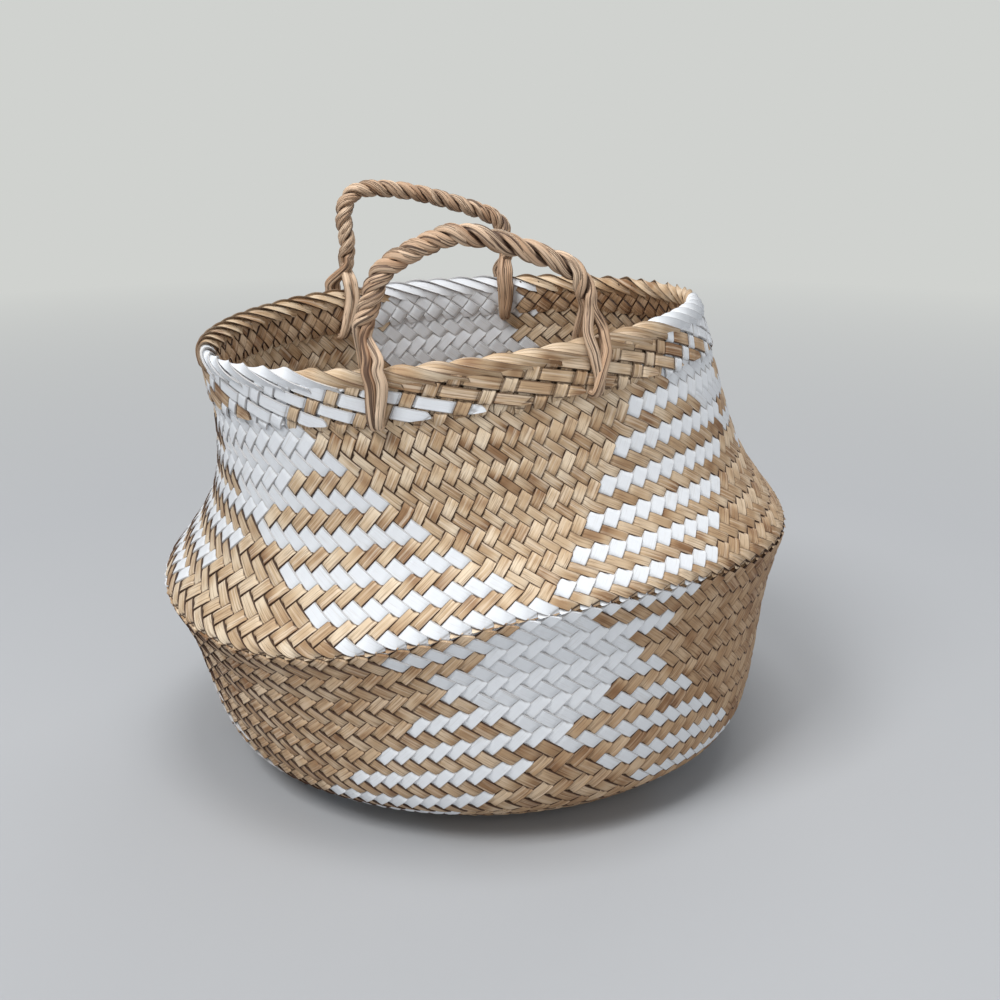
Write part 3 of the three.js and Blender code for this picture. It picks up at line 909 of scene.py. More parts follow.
class PlaitTree(GrowthGraph):
    """The geometry tree that lays one family of strips on a guide surface, over and under the other family.

    A strip of number n lies at turn n / strips + lean * row. Where it meets a strip m of the other
    family, own_step * n + other_step * m counts the crossings, and the strip is on its own side for
    the first "over" of every "period" of them.
    """

    # The angle from which on two faces meet in a crisp edge
    CRISP_ANGLE = math.radians(33)
    # The part of a row or of a strip over which directions are measured
    AHEAD = 0.2
    # How far a place keeps inside the two ends of the turn
    MARGIN = 0.00001
    # The sides of a strip's section, how it is squared off, and its half thickness
    SIDES = 6
    SQUARE = 0.16
    HALF_THICKNESS = 0.58
    # How fast strips wander along a row and from one to the next
    WANDER_ALONG = 0.12
    WANDER_ACROSS = 3.1
    # The width that is left at a strip's very tip
    TIP_LEFT = 0.02
    SIZES: dict[str, Any] = {
        "Strips": 96,
        "Other Strips": 96,
        "Lean": 1 / 192,
        "Other Lean": -1 / 192,
        "Own Step": -1.0,
        "Other Step": 1.0,
        "Period": 4.0,
        "Over": 2.0,
        "Side": 1.0,
        "First Row": 0.0,
        "Last Row": 70.0,
        "Rows": 80.0,
        "Pace": 5.8 * MM,
        "Steps": 200,
        "Fill": 1.02,
        "Thickness": 1.1 * MM,
        "Lift": 0.65 * MM,
        "White First": 0,
        "White Run": 10,
        "White Period": 32,
        "White": False,
        "Late": 0,
        "Late From": 16,
        "Late To": 48,
        "Wander": 0.3 * MM,
        "Uneven": 0.14,
        "Crisp": 5.0,
        "Shingle": 0.0,
        "Tip": 0.001,
        "Seed": 1,
        "Finish": None,
    }

    def __init__(self) -> None:
        """Writes the tree."""
        super().__init__("plait_on_surface", self.SIZES)
        self._write()

    def _write(self) -> None:
        """Adds the nodes."""
        given = self.given
        strips = self._strips()
        across, height, share = self.position().parts()
        number = self.marked("number")
        row = given["First Row"] + share * (given["Last Row"] - given["First Row"])
        turn = number / given["Strips"] + given["Lean"] * row
        walk = self.vector(row * self.WANDER_ALONG, number * self.WANDER_ACROSS, given["Seed"])
        sway = (self.noise(walk, 1.0, 1.0) - 0.5) * given["Wander"]
        rise = (self.noise(walk + (7.0, 3.0, 1.0), 2.0, 1.0) - 0.5) * given["Wander"]
        narrow = 1.0 + (self.noise(walk + (2.0, 9.0, 4.0), 1.3, 1.0) - 0.5) * given["Uneven"]
        spread = self.maths("SIGN", across) * self.maths("POWER", self.maths("ABSOLUTE", across), self.SQUARE)
        grown = (row - given["First Row"]) / given["Tip"] + self.TIP_LEFT
        tip = self.maths("SQRT", self.maths("MINIMUM", grown, 1.0))
        aside = spread * narrow * tip * given["Fill"] * 0.5

        _, forward, sideways = self._frame(turn, row)
        slide = sideways.dot(forward) / forward.dot(forward)
        half = (sideways - forward * slide).length() * given["Fill"] * tip * 0.5
        own_row = self.maths("MINIMUM", row - aside * slide, given["Last Row"])
        own_row = self.maths("MAXIMUM", own_row, given["First Row"])
        own_turn = (number + aside) / given["Strips"] + given["Lean"] * own_row

        other = given["Other Strips"] * (own_turn - given["Other Lean"] * own_row)
        count = given["Own Step"] * number + given["Other Step"] * other
        middle = (given["Over"] - 1.0) * 0.5
        edge = self.maths("COSINE", math.pi * given["Over"] / given["Period"])
        swing = self.maths("COSINE", 2 * math.pi * (count - middle) / given["Period"]) - edge
        weave = self.maths("TANH", swing * given["Crisp"]) * given["Side"]

        here, along, beside = self._frame(own_turn, own_row)
        outward = beside.cross(along).unit()
        thick = height * self.HALF_THICKNESS * given["Thickness"]
        stand = weave * given["Lift"] + thick + rise + spread * given["Shingle"]
        offset = along.cross(outward).unit() * sway + outward * stand

        marks = self.vector(row * given["Pace"], spread * half, number + given["Seed"] * self.APART)
        strips = self.mark(strips, PLACE, "FLOAT_VECTOR", marks)
        # A random tone per strip, and the weave and the place across, from which painted shade is drawn
        strips = self.mark(strips, TONE_AND_SHADE, "FLOAT_VECTOR", self.vector(self.chance(number), weave, spread))
        self.end(self.moved(strips, {"Position": here + offset}))

    def _strips(self) -> Wire:
        """Makes flat strips side by side that still have to be laid.

        Returns:
            The strips, with X across, Y through and Z along them from 0 to 1.
        """
        given = self.given
        ends = {"Start": (0, 0, 0), "End": (0, 0, 1)}
        line = self.node("GeometryNodeCurvePrimitiveLine", {"mode": "POINTS"}, ends)
        fine = self.node("GeometryNodeResampleCurve", {}, {"Curve": line[0], "Count": given["Steps"]})
        tube = self.tube(fine[0], self.circle(self.SIDES))
        row = {"Count": given["Strips"], "Offset": (0, 0, 0)}
        starts = self.node("GeometryNodeMeshLine", {"mode": "OFFSET"}, row)
        index = self.node("GeometryNodeInputIndex")[0]
        points = self.mark(starts[0], "number", "FLOAT", index)
        past = self.maths("LESS_THAN", given["Late From"] - 0.5, index)
        behind = past * self.maths("LESS_THAN", index, given["Late To"])
        spot = index - given["White First"] - behind * given["Late"]
        spot = self.maths("FLOORED_MODULO", spot, given["White Period"])
        painted = self.node("FunctionNodeCompare", {"data_type": "FLOAT", "operation": "LESS_THAN"},
                            {0: spot, 1: given["White Run"]})
        wrong = self.node("FunctionNodeBooleanMath", {"operation": "XOR"}, {0: painted[0], 1: given["White"]})
        kept = self.node("GeometryNodeDeleteGeometry", {"domain": "POINT"},
                         {"Geometry": points, "Selection": wrong[0]})
        laid = self.node("GeometryNodeInstanceOnPoints", {}, {"Points": kept[0], "Instance": tube})
        return self.node("GeometryNodeRealizeInstances", {}, {"Geometry": laid[0]})[0]

    def _frame(self, turn: Wire, row: Wire) -> tuple[Wire, Wire, Wire]:
        """Finds a place on the guide surface and the two ways that lead on from it.

        Args:
            turn: the turn round the basket.
            row: the row of crossings.

        Returns:
            The place, the way along the strip to the next row and the way to the next strip.
        """
        step = self.AHEAD - self.maths("GREATER_THAN", row, self.given["Rows"] * 0.5) * (2 * self.AHEAD)
        here = self._sample(turn, row)
        ahead = self._sample(turn + self.given["Lean"] * step, row + step)
        beside = self._sample(turn + self.AHEAD / self.given["Strips"], row)
        return here, (ahead - here) * (1.0 / step), (beside - here) * (1.0 / self.AHEAD)

    def _sample(self, turn: Wire, row: Wire) -> Wire:
        """Reads the guide surface.

        Args:
            turn: the turn round the basket.
            row: the row of crossings.

        Returns:
            The place on the surface.
        """
        whole = self.maths("FRACT", turn) * (1 - 2 * self.MARGIN) + self.MARGIN
        values = {"Mesh": self.given["Guide"], "Value": self.position(),
                  "UV Map": self.marked("guide", "FLOAT_VECTOR"),
                  "Sample UV": self.vector(whole, row / self.given["Rows"], 0.0)}
        return self.node("GeometryNodeSampleUVSurface", {"data_type": "FLOAT_VECTOR"}, values)[0]

    def lay(self, name: str, surface: "Surface | Mat", **sizes: Any) -> bpy.types.Object:
        """Lays strips on a surface and gives them as one plain mesh.

        Args:
            name: the piece's name.
            surface: the guide surface.
            sizes: the tree's inputs by name, with spaces as underscores.

        Returns:
            The piece, at the origin.
        """
        sizes["Rows"] = float(surface.rows)
        piece = self.run(name, surface.mesh(name + "_guide"), sizes)
        piece.data.set_sharp_from_angle(angle=self.CRISP_ANGLE)
        return piece

    def lay_both(self, name: str, surface: Surface, finishes: tuple[bpy.types.Material, bpy.types.Material],
                 painted: tuple[int, int, int], seeds: tuple[int, int], **sizes: Any) -> list[bpy.types.Object]:
        """Lays the bare and the painted strips of a family, each as one piece.

        Args:
            name: the pieces' name, with {} for the paint.
            surface: the guide surface.
            finishes: the materials of the bare and of the painted strips.
            painted: the first painted strip, how many stand together and after how many they return.
            seeds: the seeds of the bare and of the painted strips.
            sizes: the tree's other inputs by name, with spaces as underscores.

        Returns:
            The two pieces.
        """
        first, run, period = painted
        return [self.lay(name.format(paint.name.lower()), surface, White_First=first, White_Run=run,
                         White_Period=period, White=bool(paint.value), Seed=seed, Finish=finish, **sizes)
                for paint, finish, seed in zip(Paint, finishes, seeds)]


@dataclass
class Walls:
    """The bias-plaited wall, from the edge of the bottom to under the rim.

    Rows are counted in crossings up the wall. Both families have 96 strips, and in each the same
    ten of every 32 are painted, so that white squares stand where white bands cross.
    """

    outline: Outline
    bare: bpy.types.Material
    # The lower wall's bare strips: a copy of the straw with painted shade
    bare_low: bpy.types.Material
    white: bpy.types.Material
    strips: int = 96
    lower_pitch: float = 3.137 * MM
    upper_pitch: float = 3.6 * MM
    fold_row: int = 41
    fold_at: float = 40.93
    last_row: int = 70
    rows: float = 74.0
    start_angle: float = -0.15
    painted: tuple[int, int] = (10, 32)
    painted_first: tuple[int, int] = (22, 23)
    late: tuple[int, int] = (0, 4)
    fill: float = 1.1
    shingle: float = 0.34 * MM
    seed: int = 3
    steps_per_row: int = 4
    start_lift: float = 1.6 * MM
    start_rows: float = 5.0

    def place(self, row: float) -> tuple[float, float]:
        """Finds a row of crossings on the true basket.

        Args:
            row: the row.

        Returns:
            Radius and height.
        """
        pitch = self.lower_pitch if row < self.fold_at else self.upper_pitch
        radius, height = self.outline.at(self.outline.belly_arc + (row - self.fold_at) * pitch)
        return radius, height + self.start_lift * max(0.0, 1 - row / self.start_rows)

    def build(self, plait: PlaitTree) -> list[tuple[bpy.types.Object, str]]:
        """Makes the strips, eight sets by level, direction and paint.

        Args:
            plait: the geometry tree.

        Returns:
            The pieces, each with the name of the wall that it dresses.
        """
        surface = Surface(self.outline, self.rows, self.place, self.start_angle, 288, 240, Crowding(self.strips))
        made = []
        for level, start, end, bare in (("lower", 0, self.fold_row, self.bare_low),
                                        ("upper", self.fold_row, self.last_row, self.bare)):
            for way, first, late in zip(Rise, self.painted_first, self.late):
                seed = self.seed + way.value
                pieces = plait.lay_both(
                    f"{level}_wall_{{}}_strips_rising_{way.name.lower()}", surface, (bare, self.white),
                    (first, *self.painted), (seed, seed + PAINT_SEED), **way.sizes(self.strips), First_Row=float(start),
                    Last_Row=float(end), Steps=(end - start) * self.steps_per_row + 1, Late=late, Fill=self.fill,
                    Shingle=self.shingle)
                made += [(piece, f"{level}_wall") for piece in pieces]
        return made


@dataclass
class Mat:
    """The flat plaited bottom. Its strips are bent a little so that they all end on the circle."""

    outline: Outline
    bare: bpy.types.Material
    strips: int = 48
    radius: float = 91.5 * MM
    height: float = 1.4 * MM
    pace: float = 3.8 * MM
    seed: int = 21
    steps_per_row: int = 4
    fine: int = 96
    turned: bool = False

    @property
    def rows(self) -> float:
        """Rows of crossings along a strip."""
        return float(self.strips)

    def mesh(self, name: str) -> bpy.types.Mesh:
        """Makes the guide: a square grid drawn onto the disc.

        Args:
            name: the mesh's name.

        Returns:
            The grid, with the strips' direction along the second value of its UV map.
        """
        vertices, uvs = [], []
        steps = [2 * step / self.fine - 1 for step in range(self.fine + 1)]
        for v in steps:
            for u in steps:
                x, y = u * math.sqrt(1 - v * v / 2), v * math.sqrt(1 - u * u / 2)
                vertices.append(self.outline.slouch_flat(x * self.radius, y * self.radius, self.height))
                pair = [((w + 1) / 2 * self.strips - 0.5) / self.strips for w in (u, v)]
                uvs.append(tuple(reversed(pair)) if self.turned else tuple(pair))
        return grid_mesh(name, vertices, uvs, len(steps))

    def build(self, plait: PlaitTree) -> list[bpy.types.Object]:
        """Makes both families of the bottom.

        Args:
            plait: the geometry tree.

        Returns:
            The pieces.
        """
        made = []
        for way in ("front_to_back", "side_to_side"):
            self.turned = way == "side_to_side"
            made.append(plait.lay(
                f"base_strips_{way}", self, Strips=self.strips, Other_Strips=self.strips, Lean=0.0,
                Other_Lean=-1 / self.strips, Own_Step=0.0, Other_Step=1.0, Side=1.0, First_Row=-0.5,
                Last_Row=self.strips - 0.5, Steps=self.strips * self.steps_per_row + 1, White_Run=0, White=False,
                Pace=self.pace, Seed=self.seed + self.turned, Finish=self.bare))
        return made


@dataclass(frozen=True)
class BandStrips:
    """One family of the rim band's strips."""

    name: str
    strips: int
    lean: float
    side: float
    first_row: float
    steps: int
    pace: float
    fill: float
    uneven: float
    tip: float
    painted: tuple[int, int, int]
    seed: int


@dataclass
class RimCourse:
    """A course of strips beside the rim, whose lower end bends in to the wall."""

    outline: Outline
    bare: bpy.types.Material
    white: bpy.types.Material
    bottom: float = 184.2 * MM
    pitch: float = 6.5 * MM
    rows: float = 3.1
    margin: float = 0.02
    out: float = 1.9 * MM
    tuck: float = 3.0 * MM
    tuck_share: float = 1.0

    def place(self, row: float) -> tuple[float, float]:
        """Finds a row of the course.

        Args:
            row: the row.

        Returns:
            Radius and height.
        """
        height = self.bottom + row * self.pitch
        tucked = max(0.0, 1 - (height - self.bottom) / self.tuck)
        return self.outline.level(height) + self.out * (1 - self.tuck_share * tucked * tucked), height


@dataclass
class RimBand(RimCourse):
    """The turned-down strips outside the rim: long shallow floats over steep squares.

    The steep strips reach lower than the floats, where they fold under in points.
    """

    floats: BandStrips = BandStrips("floats", 36, -1 / 36, 1.0, 0.42, 72, 21 * MM, 0.88, 0.5, 0.1, (0, 5, 12), 37)
    uprights: BandStrips = BandStrips("uprights", 96, 0.0057, -1.0, 0.02, 34, 7.7 * MM, 0.78, 0.6, 0.45,
                                      (21, 10, 32), 39)
    thickness: float = 1.0 * MM
    lift: float = 0.55 * MM
    wander: float = 0.8 * MM
    crisp: float = 8.0

    def build(self, plait: PlaitTree) -> list[bpy.types.Object]:
        """Makes the floats and the uprights, bare and painted.

        Args:
            plait: the geometry tree.

        Returns:
            The pieces.
        """
        surface = Surface(self.outline, self.rows, self.place)
        made = []
        for own, other in ((self.floats, self.uprights), (self.uprights, self.floats)):
            made += plait.lay_both(
                f"rim_{{}}_{own.name}", surface, (self.bare, self.white), own.painted, (own.seed, own.seed + 1),
                Strips=own.strips, Other_Strips=other.strips, Lean=own.lean, Other_Lean=other.lean,
                Own_Step=-own.side, Other_Step=own.side, Side=own.side, Period=3.0, Over=2.0,
                First_Row=own.first_row, Last_Row=self.rows - self.margin, Steps=own.steps, Pace=own.pace,
                Fill=own.fill, Uneven=own.uneven, Tip=own.tip, Thickness=self.thickness, Lift=self.lift,
                Wander=self.wander, Crisp=self.crisp)
        return made


@dataclass
class RimLining(RimCourse):
    """The strips' small squares on the inside of the rim."""

    bottom: float = 188 * MM
    pitch: float = 4.6 * MM
    rows: float = 3.95
    out: float = -1.9 * MM
    tuck: float = 5 * MM
    tuck_share: float = 0.6
    strips: int = 72
    steps: int = 20
    start_angle: float = 1.0
    painted: tuple[int, int] = (8, 24)
    painted_first: tuple[int, int] = (15, 16)
    thickness: float = 0.9 * MM
    lift: float = 0.6 * MM
    seed: int = 51

    def build(self, plait: PlaitTree) -> list[bpy.types.Object]:
        """Makes both families, bare and painted.

        Args:
            plait: the geometry tree.

        Returns:
            The pieces.
        """
        surface = Surface(self.outline, self.rows, self.place, self.start_angle, up=30)
        made = []
        for way, first in zip(Rise, self.painted_first):
            seed = self.seed + way.value
            made += plait.lay_both(
                f"rim_lining_{{}}_strips_rising_{way.name.lower()}", surface, (self.bare, self.white),
                (first, *self.painted), (seed, seed + PAINT_SEED), **way.sizes(self.strips), Period=2.0, Over=1.0,
                First_Row=self.margin, Last_Row=self.rows - self.margin, Steps=self.steps,
                Thickness=self.thickness, Lift=self.lift)
        return made


@dataclass
class RimEdge:
    """The fold on top: strips that wrap over the edge at a slant, each overlapping the next."""

    outline: Outline
    bare: bpy.types.Material
    white: bpy.types.Material
    strips: int = 60
    steps: int = 48
    half_width: float = 3.0 * MM
    spring: float = 203.4 * MM
    top: float = 208.3 * MM
    leg: float = 3.2 * MM
    tuck: float = 1.4 * MM
    travel: float = 0.08
    rows: float = 10.0
    margin: float = 0.01
    start_angle: float = 4.5
    painted: tuple[int, int, int] = (15, 7, 20)
    fill: float = 1.14
    wander: float = 1.1 * MM
    uneven: float = 0.6
    shingle: float = 0.75 * MM
    thickness: float = 1.0 * MM
    seed: int = 61
    fine: int = 16

    def __post_init__(self) -> None:
        """Draws the line that the strips follow, from the outside over the top to the inside."""
        leg = ((self.half_width - self.tuck, self.spring - self.leg), (self.half_width, self.spring - self.leg / 2))
        outer, inner = ([(self.outline.level(h) + side * w, h) for w, h in leg] for side in (1, -1))
        middle, rise = self.outline.level(self.spring), self.top - self.spring
        turns = [math.pi * step / self.fine for step in range(self.fine + 1)]
        arch = [(middle + self.half_width * math.cos(turn), self.spring + rise * math.sin(turn)) for turn in turns]
        self.line = Line(outer + arch + inner[::-1])

    def place(self, row: float) -> tuple[float, float]:
        """Radius and height of a row, the last of which is at the line's inner end."""
        return self.line.at(self.line.arcs[-1] * row / self.rows)

    def build(self, plait: PlaitTree) -> list[bpy.types.Object]:
        """Makes the wraps.

        Args:
            plait: the geometry tree.

        Returns:
            The pieces.
        """
        surface = Surface(self.outline, self.rows, self.place, self.start_angle, up=60)
        return plait.lay_both(
            "rim_edge_{}_wraps", surface, (self.bare, self.white), self.painted, (self.seed, self.seed + 1),
            Strips=self.strips, Other_Strips=self.strips, Lean=-self.travel / self.rows, Own_Step=0.0,
            Other_Step=0.0, Period=2.0, Over=1.0, First_Row=self.margin, Last_Row=self.rows - self.margin,
            Steps=self.steps, Fill=self.fill, Wander=self.wander, Uneven=self.uneven, Lift=0.0,
            Shingle=self.shingle, Thickness=self.thickness)


class YarnTree(GrowthGraph):
    """The geometry tree that spins a creased yarn along every line of a guide."""

    # How fast a yarn wanders along its length and from one to the next, and how much its girth changes
    WANDER_ALONG = 90.0
    WANDER_ACROSS = 5.3
    UNEVEN = 0.2
    # The angle between the creases of two yarns, and the mean height of a crease's outline
    CREASE_APART = 1.7
    CREASE_MEAN = 0.8
    SIZES: dict[str, Any] = {
        "Sides": 18,
        "Creases": 5,
        "Crease Depth": 0.28,
        "Crease Lay": 90 * MM,
        "Wander": 0.5 * MM,
        "Seed": 1,
        "Finish": None,
    }

    def __init__(self) -> None:
        """Writes the tree."""
        super().__init__("yarn_on_line", self.SIZES)
        self._write()

    def _write(self) -> None:
        """Adds the nodes."""
        given = self.given
        number, girth, hub = self.marked("number"), self.marked("girth"), self.marked("hub", "FLOAT_VECTOR")
        line = self.node("GeometryNodeMeshToCurve", {}, {"Mesh": given["Guide"]})[0]
        line = self.mark(line, "run", "FLOAT", self.node("GeometryNodeSplineParameter")["Length"])
        run = self.marked("run")
        walk = self.vector(run * self.WANDER_ALONG, number * self.WANDER_ACROSS, given["Seed"])
        apart = ((0.0, 0.0, 0.0), (9.0, 4.0, 2.0), (3.0, 8.0, 6.0))
        sway = self.vector(*(self.noise(walk + far, 1.0, 1.0) - 0.5 for far in apart))
        line = self.moved(line, {"Offset": sway * given["Wander"]})
        line = self.mark(line, "middle", "FLOAT_VECTOR", self.position())
        section = self.circle(given["Sides"])
        section = self.mark(section, "around", "FLOAT", self.node("GeometryNodeSplineParameter")["Factor"])
        tube = self.tube(line, section, girth)
        around, middle, place = self.marked("around"), self.marked("middle", "FLOAT_VECTOR"), self.position()
        angle = 2 * math.pi * (around * given["Creases"] + run / given["Crease Lay"]) + number * self.CREASE_APART
        groove = self.maths("POWER", self.maths("ABSOLUTE", self.maths("SINE", angle * 0.5)), 0.5)
        swell = 1.0 + (groove - self.CREASE_MEAN) * given["Crease Depth"]
        swell = swell + (self.noise(walk * 2.0, 1.0, 1.0) - 0.5) * self.UNEVEN
        tube = self.moved(tube, {"Position": middle + (place - middle) * swell})
        marks = self.vector(run, around * girth * (2 * math.pi), number + given["Seed"] * self.APART)
        tube = self.mark(tube, PLACE, "FLOAT_VECTOR", marks)
        # A random tone per yarn, and the groove and the distance from the middle line, from which painted shade is
        # drawn
        tones = self.vector(self.chance(number), groove, (place - hub).length())
        self.end(self.mark(tube, TONE_AND_SHADE, "FLOAT_VECTOR", tones))


@dataclass(frozen=True)
class Foot:
    """Where an end of a rope stands on the rim, and how its strands come down to the hole under the band.

    The angle and the lean are in degrees round the basket. The shifts are lengths along the rim, at
    the hole and at the edge, by which the outer and the inner pair of strands stand beside the foot.
    """

    at: float
    lean: float
    outer: tuple[float, float] = (0.0, 0.0)
    inner: tuple[float, float] = (0.0, 0.0)
    crossed: bool = False


@dataclass
class RopeHandle:
    """A handle of four yarns, which stand two outside and two inside the rim and are twisted above it.

    The strands' way from the hole to the rope is in millimetres: outwards from the wall, and height.
    """

    outline: Outline
    finish: bpy.types.Material
    name: str
    left: Foot
    right: Foot
    bend: tuple[tuple[float, float], ...]
    lays: tuple[tuple[float, float], ...]
    way: tuple[tuple[float, float], ...] = (
        (0.2, 186.2), (4.3, 186.8), (5.9, 190.7), (6.1, 196), (6.1, 203), (5.6, 208.5), (4.2, 213))
    start_turn: float = 90.0
    rise: float = 41 * MM
    hinge: float = 217.05 * MM
    edge_level: float = 205.7 * MM
    slot_level: float = 186.2 * MM
    foot_length: float = 6 * MM
    spread: float = 25.0
    rope_r: float = 2.35 * MM
    swell: tuple[tuple[float, float], ...] = (
        (0, 1.5 * MM), (0.25, 2.0 * MM), (0.5, 2.35 * MM), (0.75, 2.1 * MM), (1, 1.9 * MM), (1.3, 2.1 * MM))
    beside: float = 2.1 * MM
    step: float = 1.0 * MM
    fine: int = 600
    foot_steps: int = 48
    foot_points: int = 9
    join: float = 0.45
    gather: float = 0.5
    hold: float = 0.85
    cross_wide: float = 1.7
    cross_over: float = 1.2

    def __post_init__(self) -> None:
        """Works out the two feet, the frame of the handle and its middle line."""
        left, right = (self._around(foot, 0, self.hinge) for foot in (self.left, self.right))
        self.middle = (left + right) / 2
        self.along = (right - left).normalized()
        self.out = self.along.cross(Vector((0, 0, 1))).normalized()
        self.up = self.out.cross(self.along).normalized()
        half = (right - left).length / 2
        low = self.foot_length / self.rise
        route = [(-1, 0), (-1, low), *self.bend, (1, low), (1, 0)]
        ends = [self.middle + self.along * (a * half) + self.up * (h * self.rise) for a, h in route]
        fine = [spline(ends, step / self.fine) for step in range(self.fine + 1)]
        arcs = [0.0]
        for here, there in zip(fine, fine[1:]):
            arcs.append(arcs[-1] + (there - here).length)
        self.length = arcs[-1]
        count = round(self.length / self.step)
        self.points = []
        for step in range(count + 1):
            run = self.length * step / count
            at = min(bisect.bisect(arcs, run), self.fine) - 1
            share = (run - arcs[at]) / (arcs[at + 1] - arcs[at])
            self.points.append(fine[at].lerp(fine[at + 1], share))

    def _drop(self, height: float) -> float:
        """How far down from the edge to the hole a height is, 0 to 1."""
        return min(1.0, max(0.0, (self.edge_level - height) / (self.edge_level - self.slot_level)))

    def _around(self, foot: Foot, out: float, height: float, shift: float = 0.0) -> Vector:
        """Finds a point near a foot.

        Args:
            foot: the foot.
            out: how far the point is outside the middle of the wall.
            height: its height.
            shift: how far it is moved along the rim.

        Returns:
            The point.
        """
        radius = self.outline.level(min(height, self.edge_level))
        angle = math.radians(foot.at + foot.lean * self._drop(height))
        return self.outline.slouch(radius + out, angle + shift / radius, height)

    def _turns(self) -> list[float]:
        """Adds up the twist from one foot to the other, a whole number of half turns in all.

        Returns:
            The angle at each point of the middle line.
        """
        count = len(self.points) - 1
        laid = [0.0]
        for step in range(count):
            run = self.length * (step + 0.5) / count
            inside = self.foot_length < run < self.length - self.foot_length
            laid.append(laid[-1] + (self.length / count / (read(self.lays, step / count) * MM) if inside else 0.0))
        return [math.pi * round(2 * laid[-1]) * value / laid[-1] for value in laid]

    def _foot(self, foot: Foot, outside: float, aside: float) -> list[Vector]:
        """Leads one yarn from its hole up to the start of the rope.

        Args:
            foot: the foot.
            outside: 1 outside the rim, -1 inside.
            aside: 1 or -1, the yarn's side of its pair.

        Returns:
            Points from the hole upwards.
        """
        low, high = foot.outer if outside > 0 else foot.inner
        points = []
        for out, level in self.way:
            height = level * MM
            drop = self._drop(height)
            above = 1.0 if height < self.edge_level else self.hold
            beside, over = aside * self.beside * (1 - self.gather * drop * drop), 0.0
            if foot.crossed and outside > 0:
                beside *= self.cross_wide - (1 + self.cross_wide) * drop
                over = self.cross_over * max(0.0, aside) * drop
            shift = (high + (low - high) * drop) * above * MM + beside
            points.append(self._around(foot, outside * (out + over) * MM, height, shift))
        return points

    def _rope(self, number: int, turns: list[float]) -> list[Vector]:
        """Winds one yarn round the middle line.

        Args:
            number: the yarn's number.
            turns: the twist at each point.

        Returns:
            The yarn's points.
        """
        phase = math.radians(self.start_turn + (number // 2) * 180 + (2 * (number % 2) - 1) * self.spread)
        points = []
        for before, point, after, laid in zip([self.points[0], *self.points], self.points,
                                              [*self.points[1:], self.points[-1]], turns):
            side = (after - before).normalized().cross(self.out).normalized()
            points.append(point + (side * math.cos(phase - laid) + self.out * math.sin(phase - laid)) * self.rope_r)
        return points

    def guide(self) -> bpy.types.Mesh:
        """Draws the four yarns as lines of points about a millimetre apart.

        Returns:
            The mesh, with each point's yarn, girth and nearest point of the middle line.
        """
        turns, skip = self._turns(), self.foot_points
        middles = self.points[skip:-skip]
        vertices, edges, numbers, girths, hubs = [], [], [], [], []
        for number in range(4):
            rope = self._rope(number, turns)
            feet = []
            for foot, tip, base, near in ((self.left, rope[0], self.points[0], rope[skip - 1]),
                                          (self.right, rope[-1], self.points[-1], rope[-skip])):
                outside = 1.0 if (tip - base).dot(self.out) > 0 else -1.0
                facing = 1.0 if math.sin(math.radians(foot.at)) < 0 else -1.0
                aside = facing if (tip - base).dot(self.along) > 0 else -facing
                way = self._foot(foot, outside, aside) + [tip.lerp(near, self.join), near]
                feet.append([spline(way, step / self.foot_steps) for step in range(self.foot_steps + 1)])
            path = feet[0] + rope[skip:-skip] + feet[1][::-1]
            first = len(vertices)
            edges += [(first + step, first + step + 1) for step in range(len(path) - 1)]
            for step, point in enumerate(path):
                vertices.append(point)
                inside = 0 <= step - len(feet[0]) < len(middles)
                hubs.extend(middles[step - len(feet[0])] if inside else point + self.out * self.rise)
                numbers.append(float(number))
                girths.append(read(self.swell, min(step, len(path) - 1 - step) / self.foot_steps))
        mesh = bpy.data.meshes.new(self.name + "_guide")
        mesh.from_pydata(vertices, edges, [])
        for name, values in (("number", numbers), ("girth", girths)):
            mesh.attributes.new(name, "FLOAT", "POINT").data.foreach_set("value", values)
        mesh.attributes.new("hub", "FLOAT_VECTOR", "POINT").data.foreach_set("vector", hubs)
        return mesh

    def build(self, yarn: YarnTree) -> bpy.types.Object:
        """Makes the handle as one mesh."""
        return yarn.run(self.name + "_rope", self.guide(), {"Seed": len(self.name), "Finish": self.finish})

    def dress(self, piece: bpy.types.Object, side: str) -> None:
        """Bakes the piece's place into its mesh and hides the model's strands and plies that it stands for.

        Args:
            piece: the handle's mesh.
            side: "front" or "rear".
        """
        self.middle + self.up * 14 * MM
        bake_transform(piece)
        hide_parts(*(f"{side}_{end}_strand_{ply}" for end in ("left", "right") for ply in "ab"),
                    *(f"{side}_handle_ply_{ply}" for ply in "ab"))


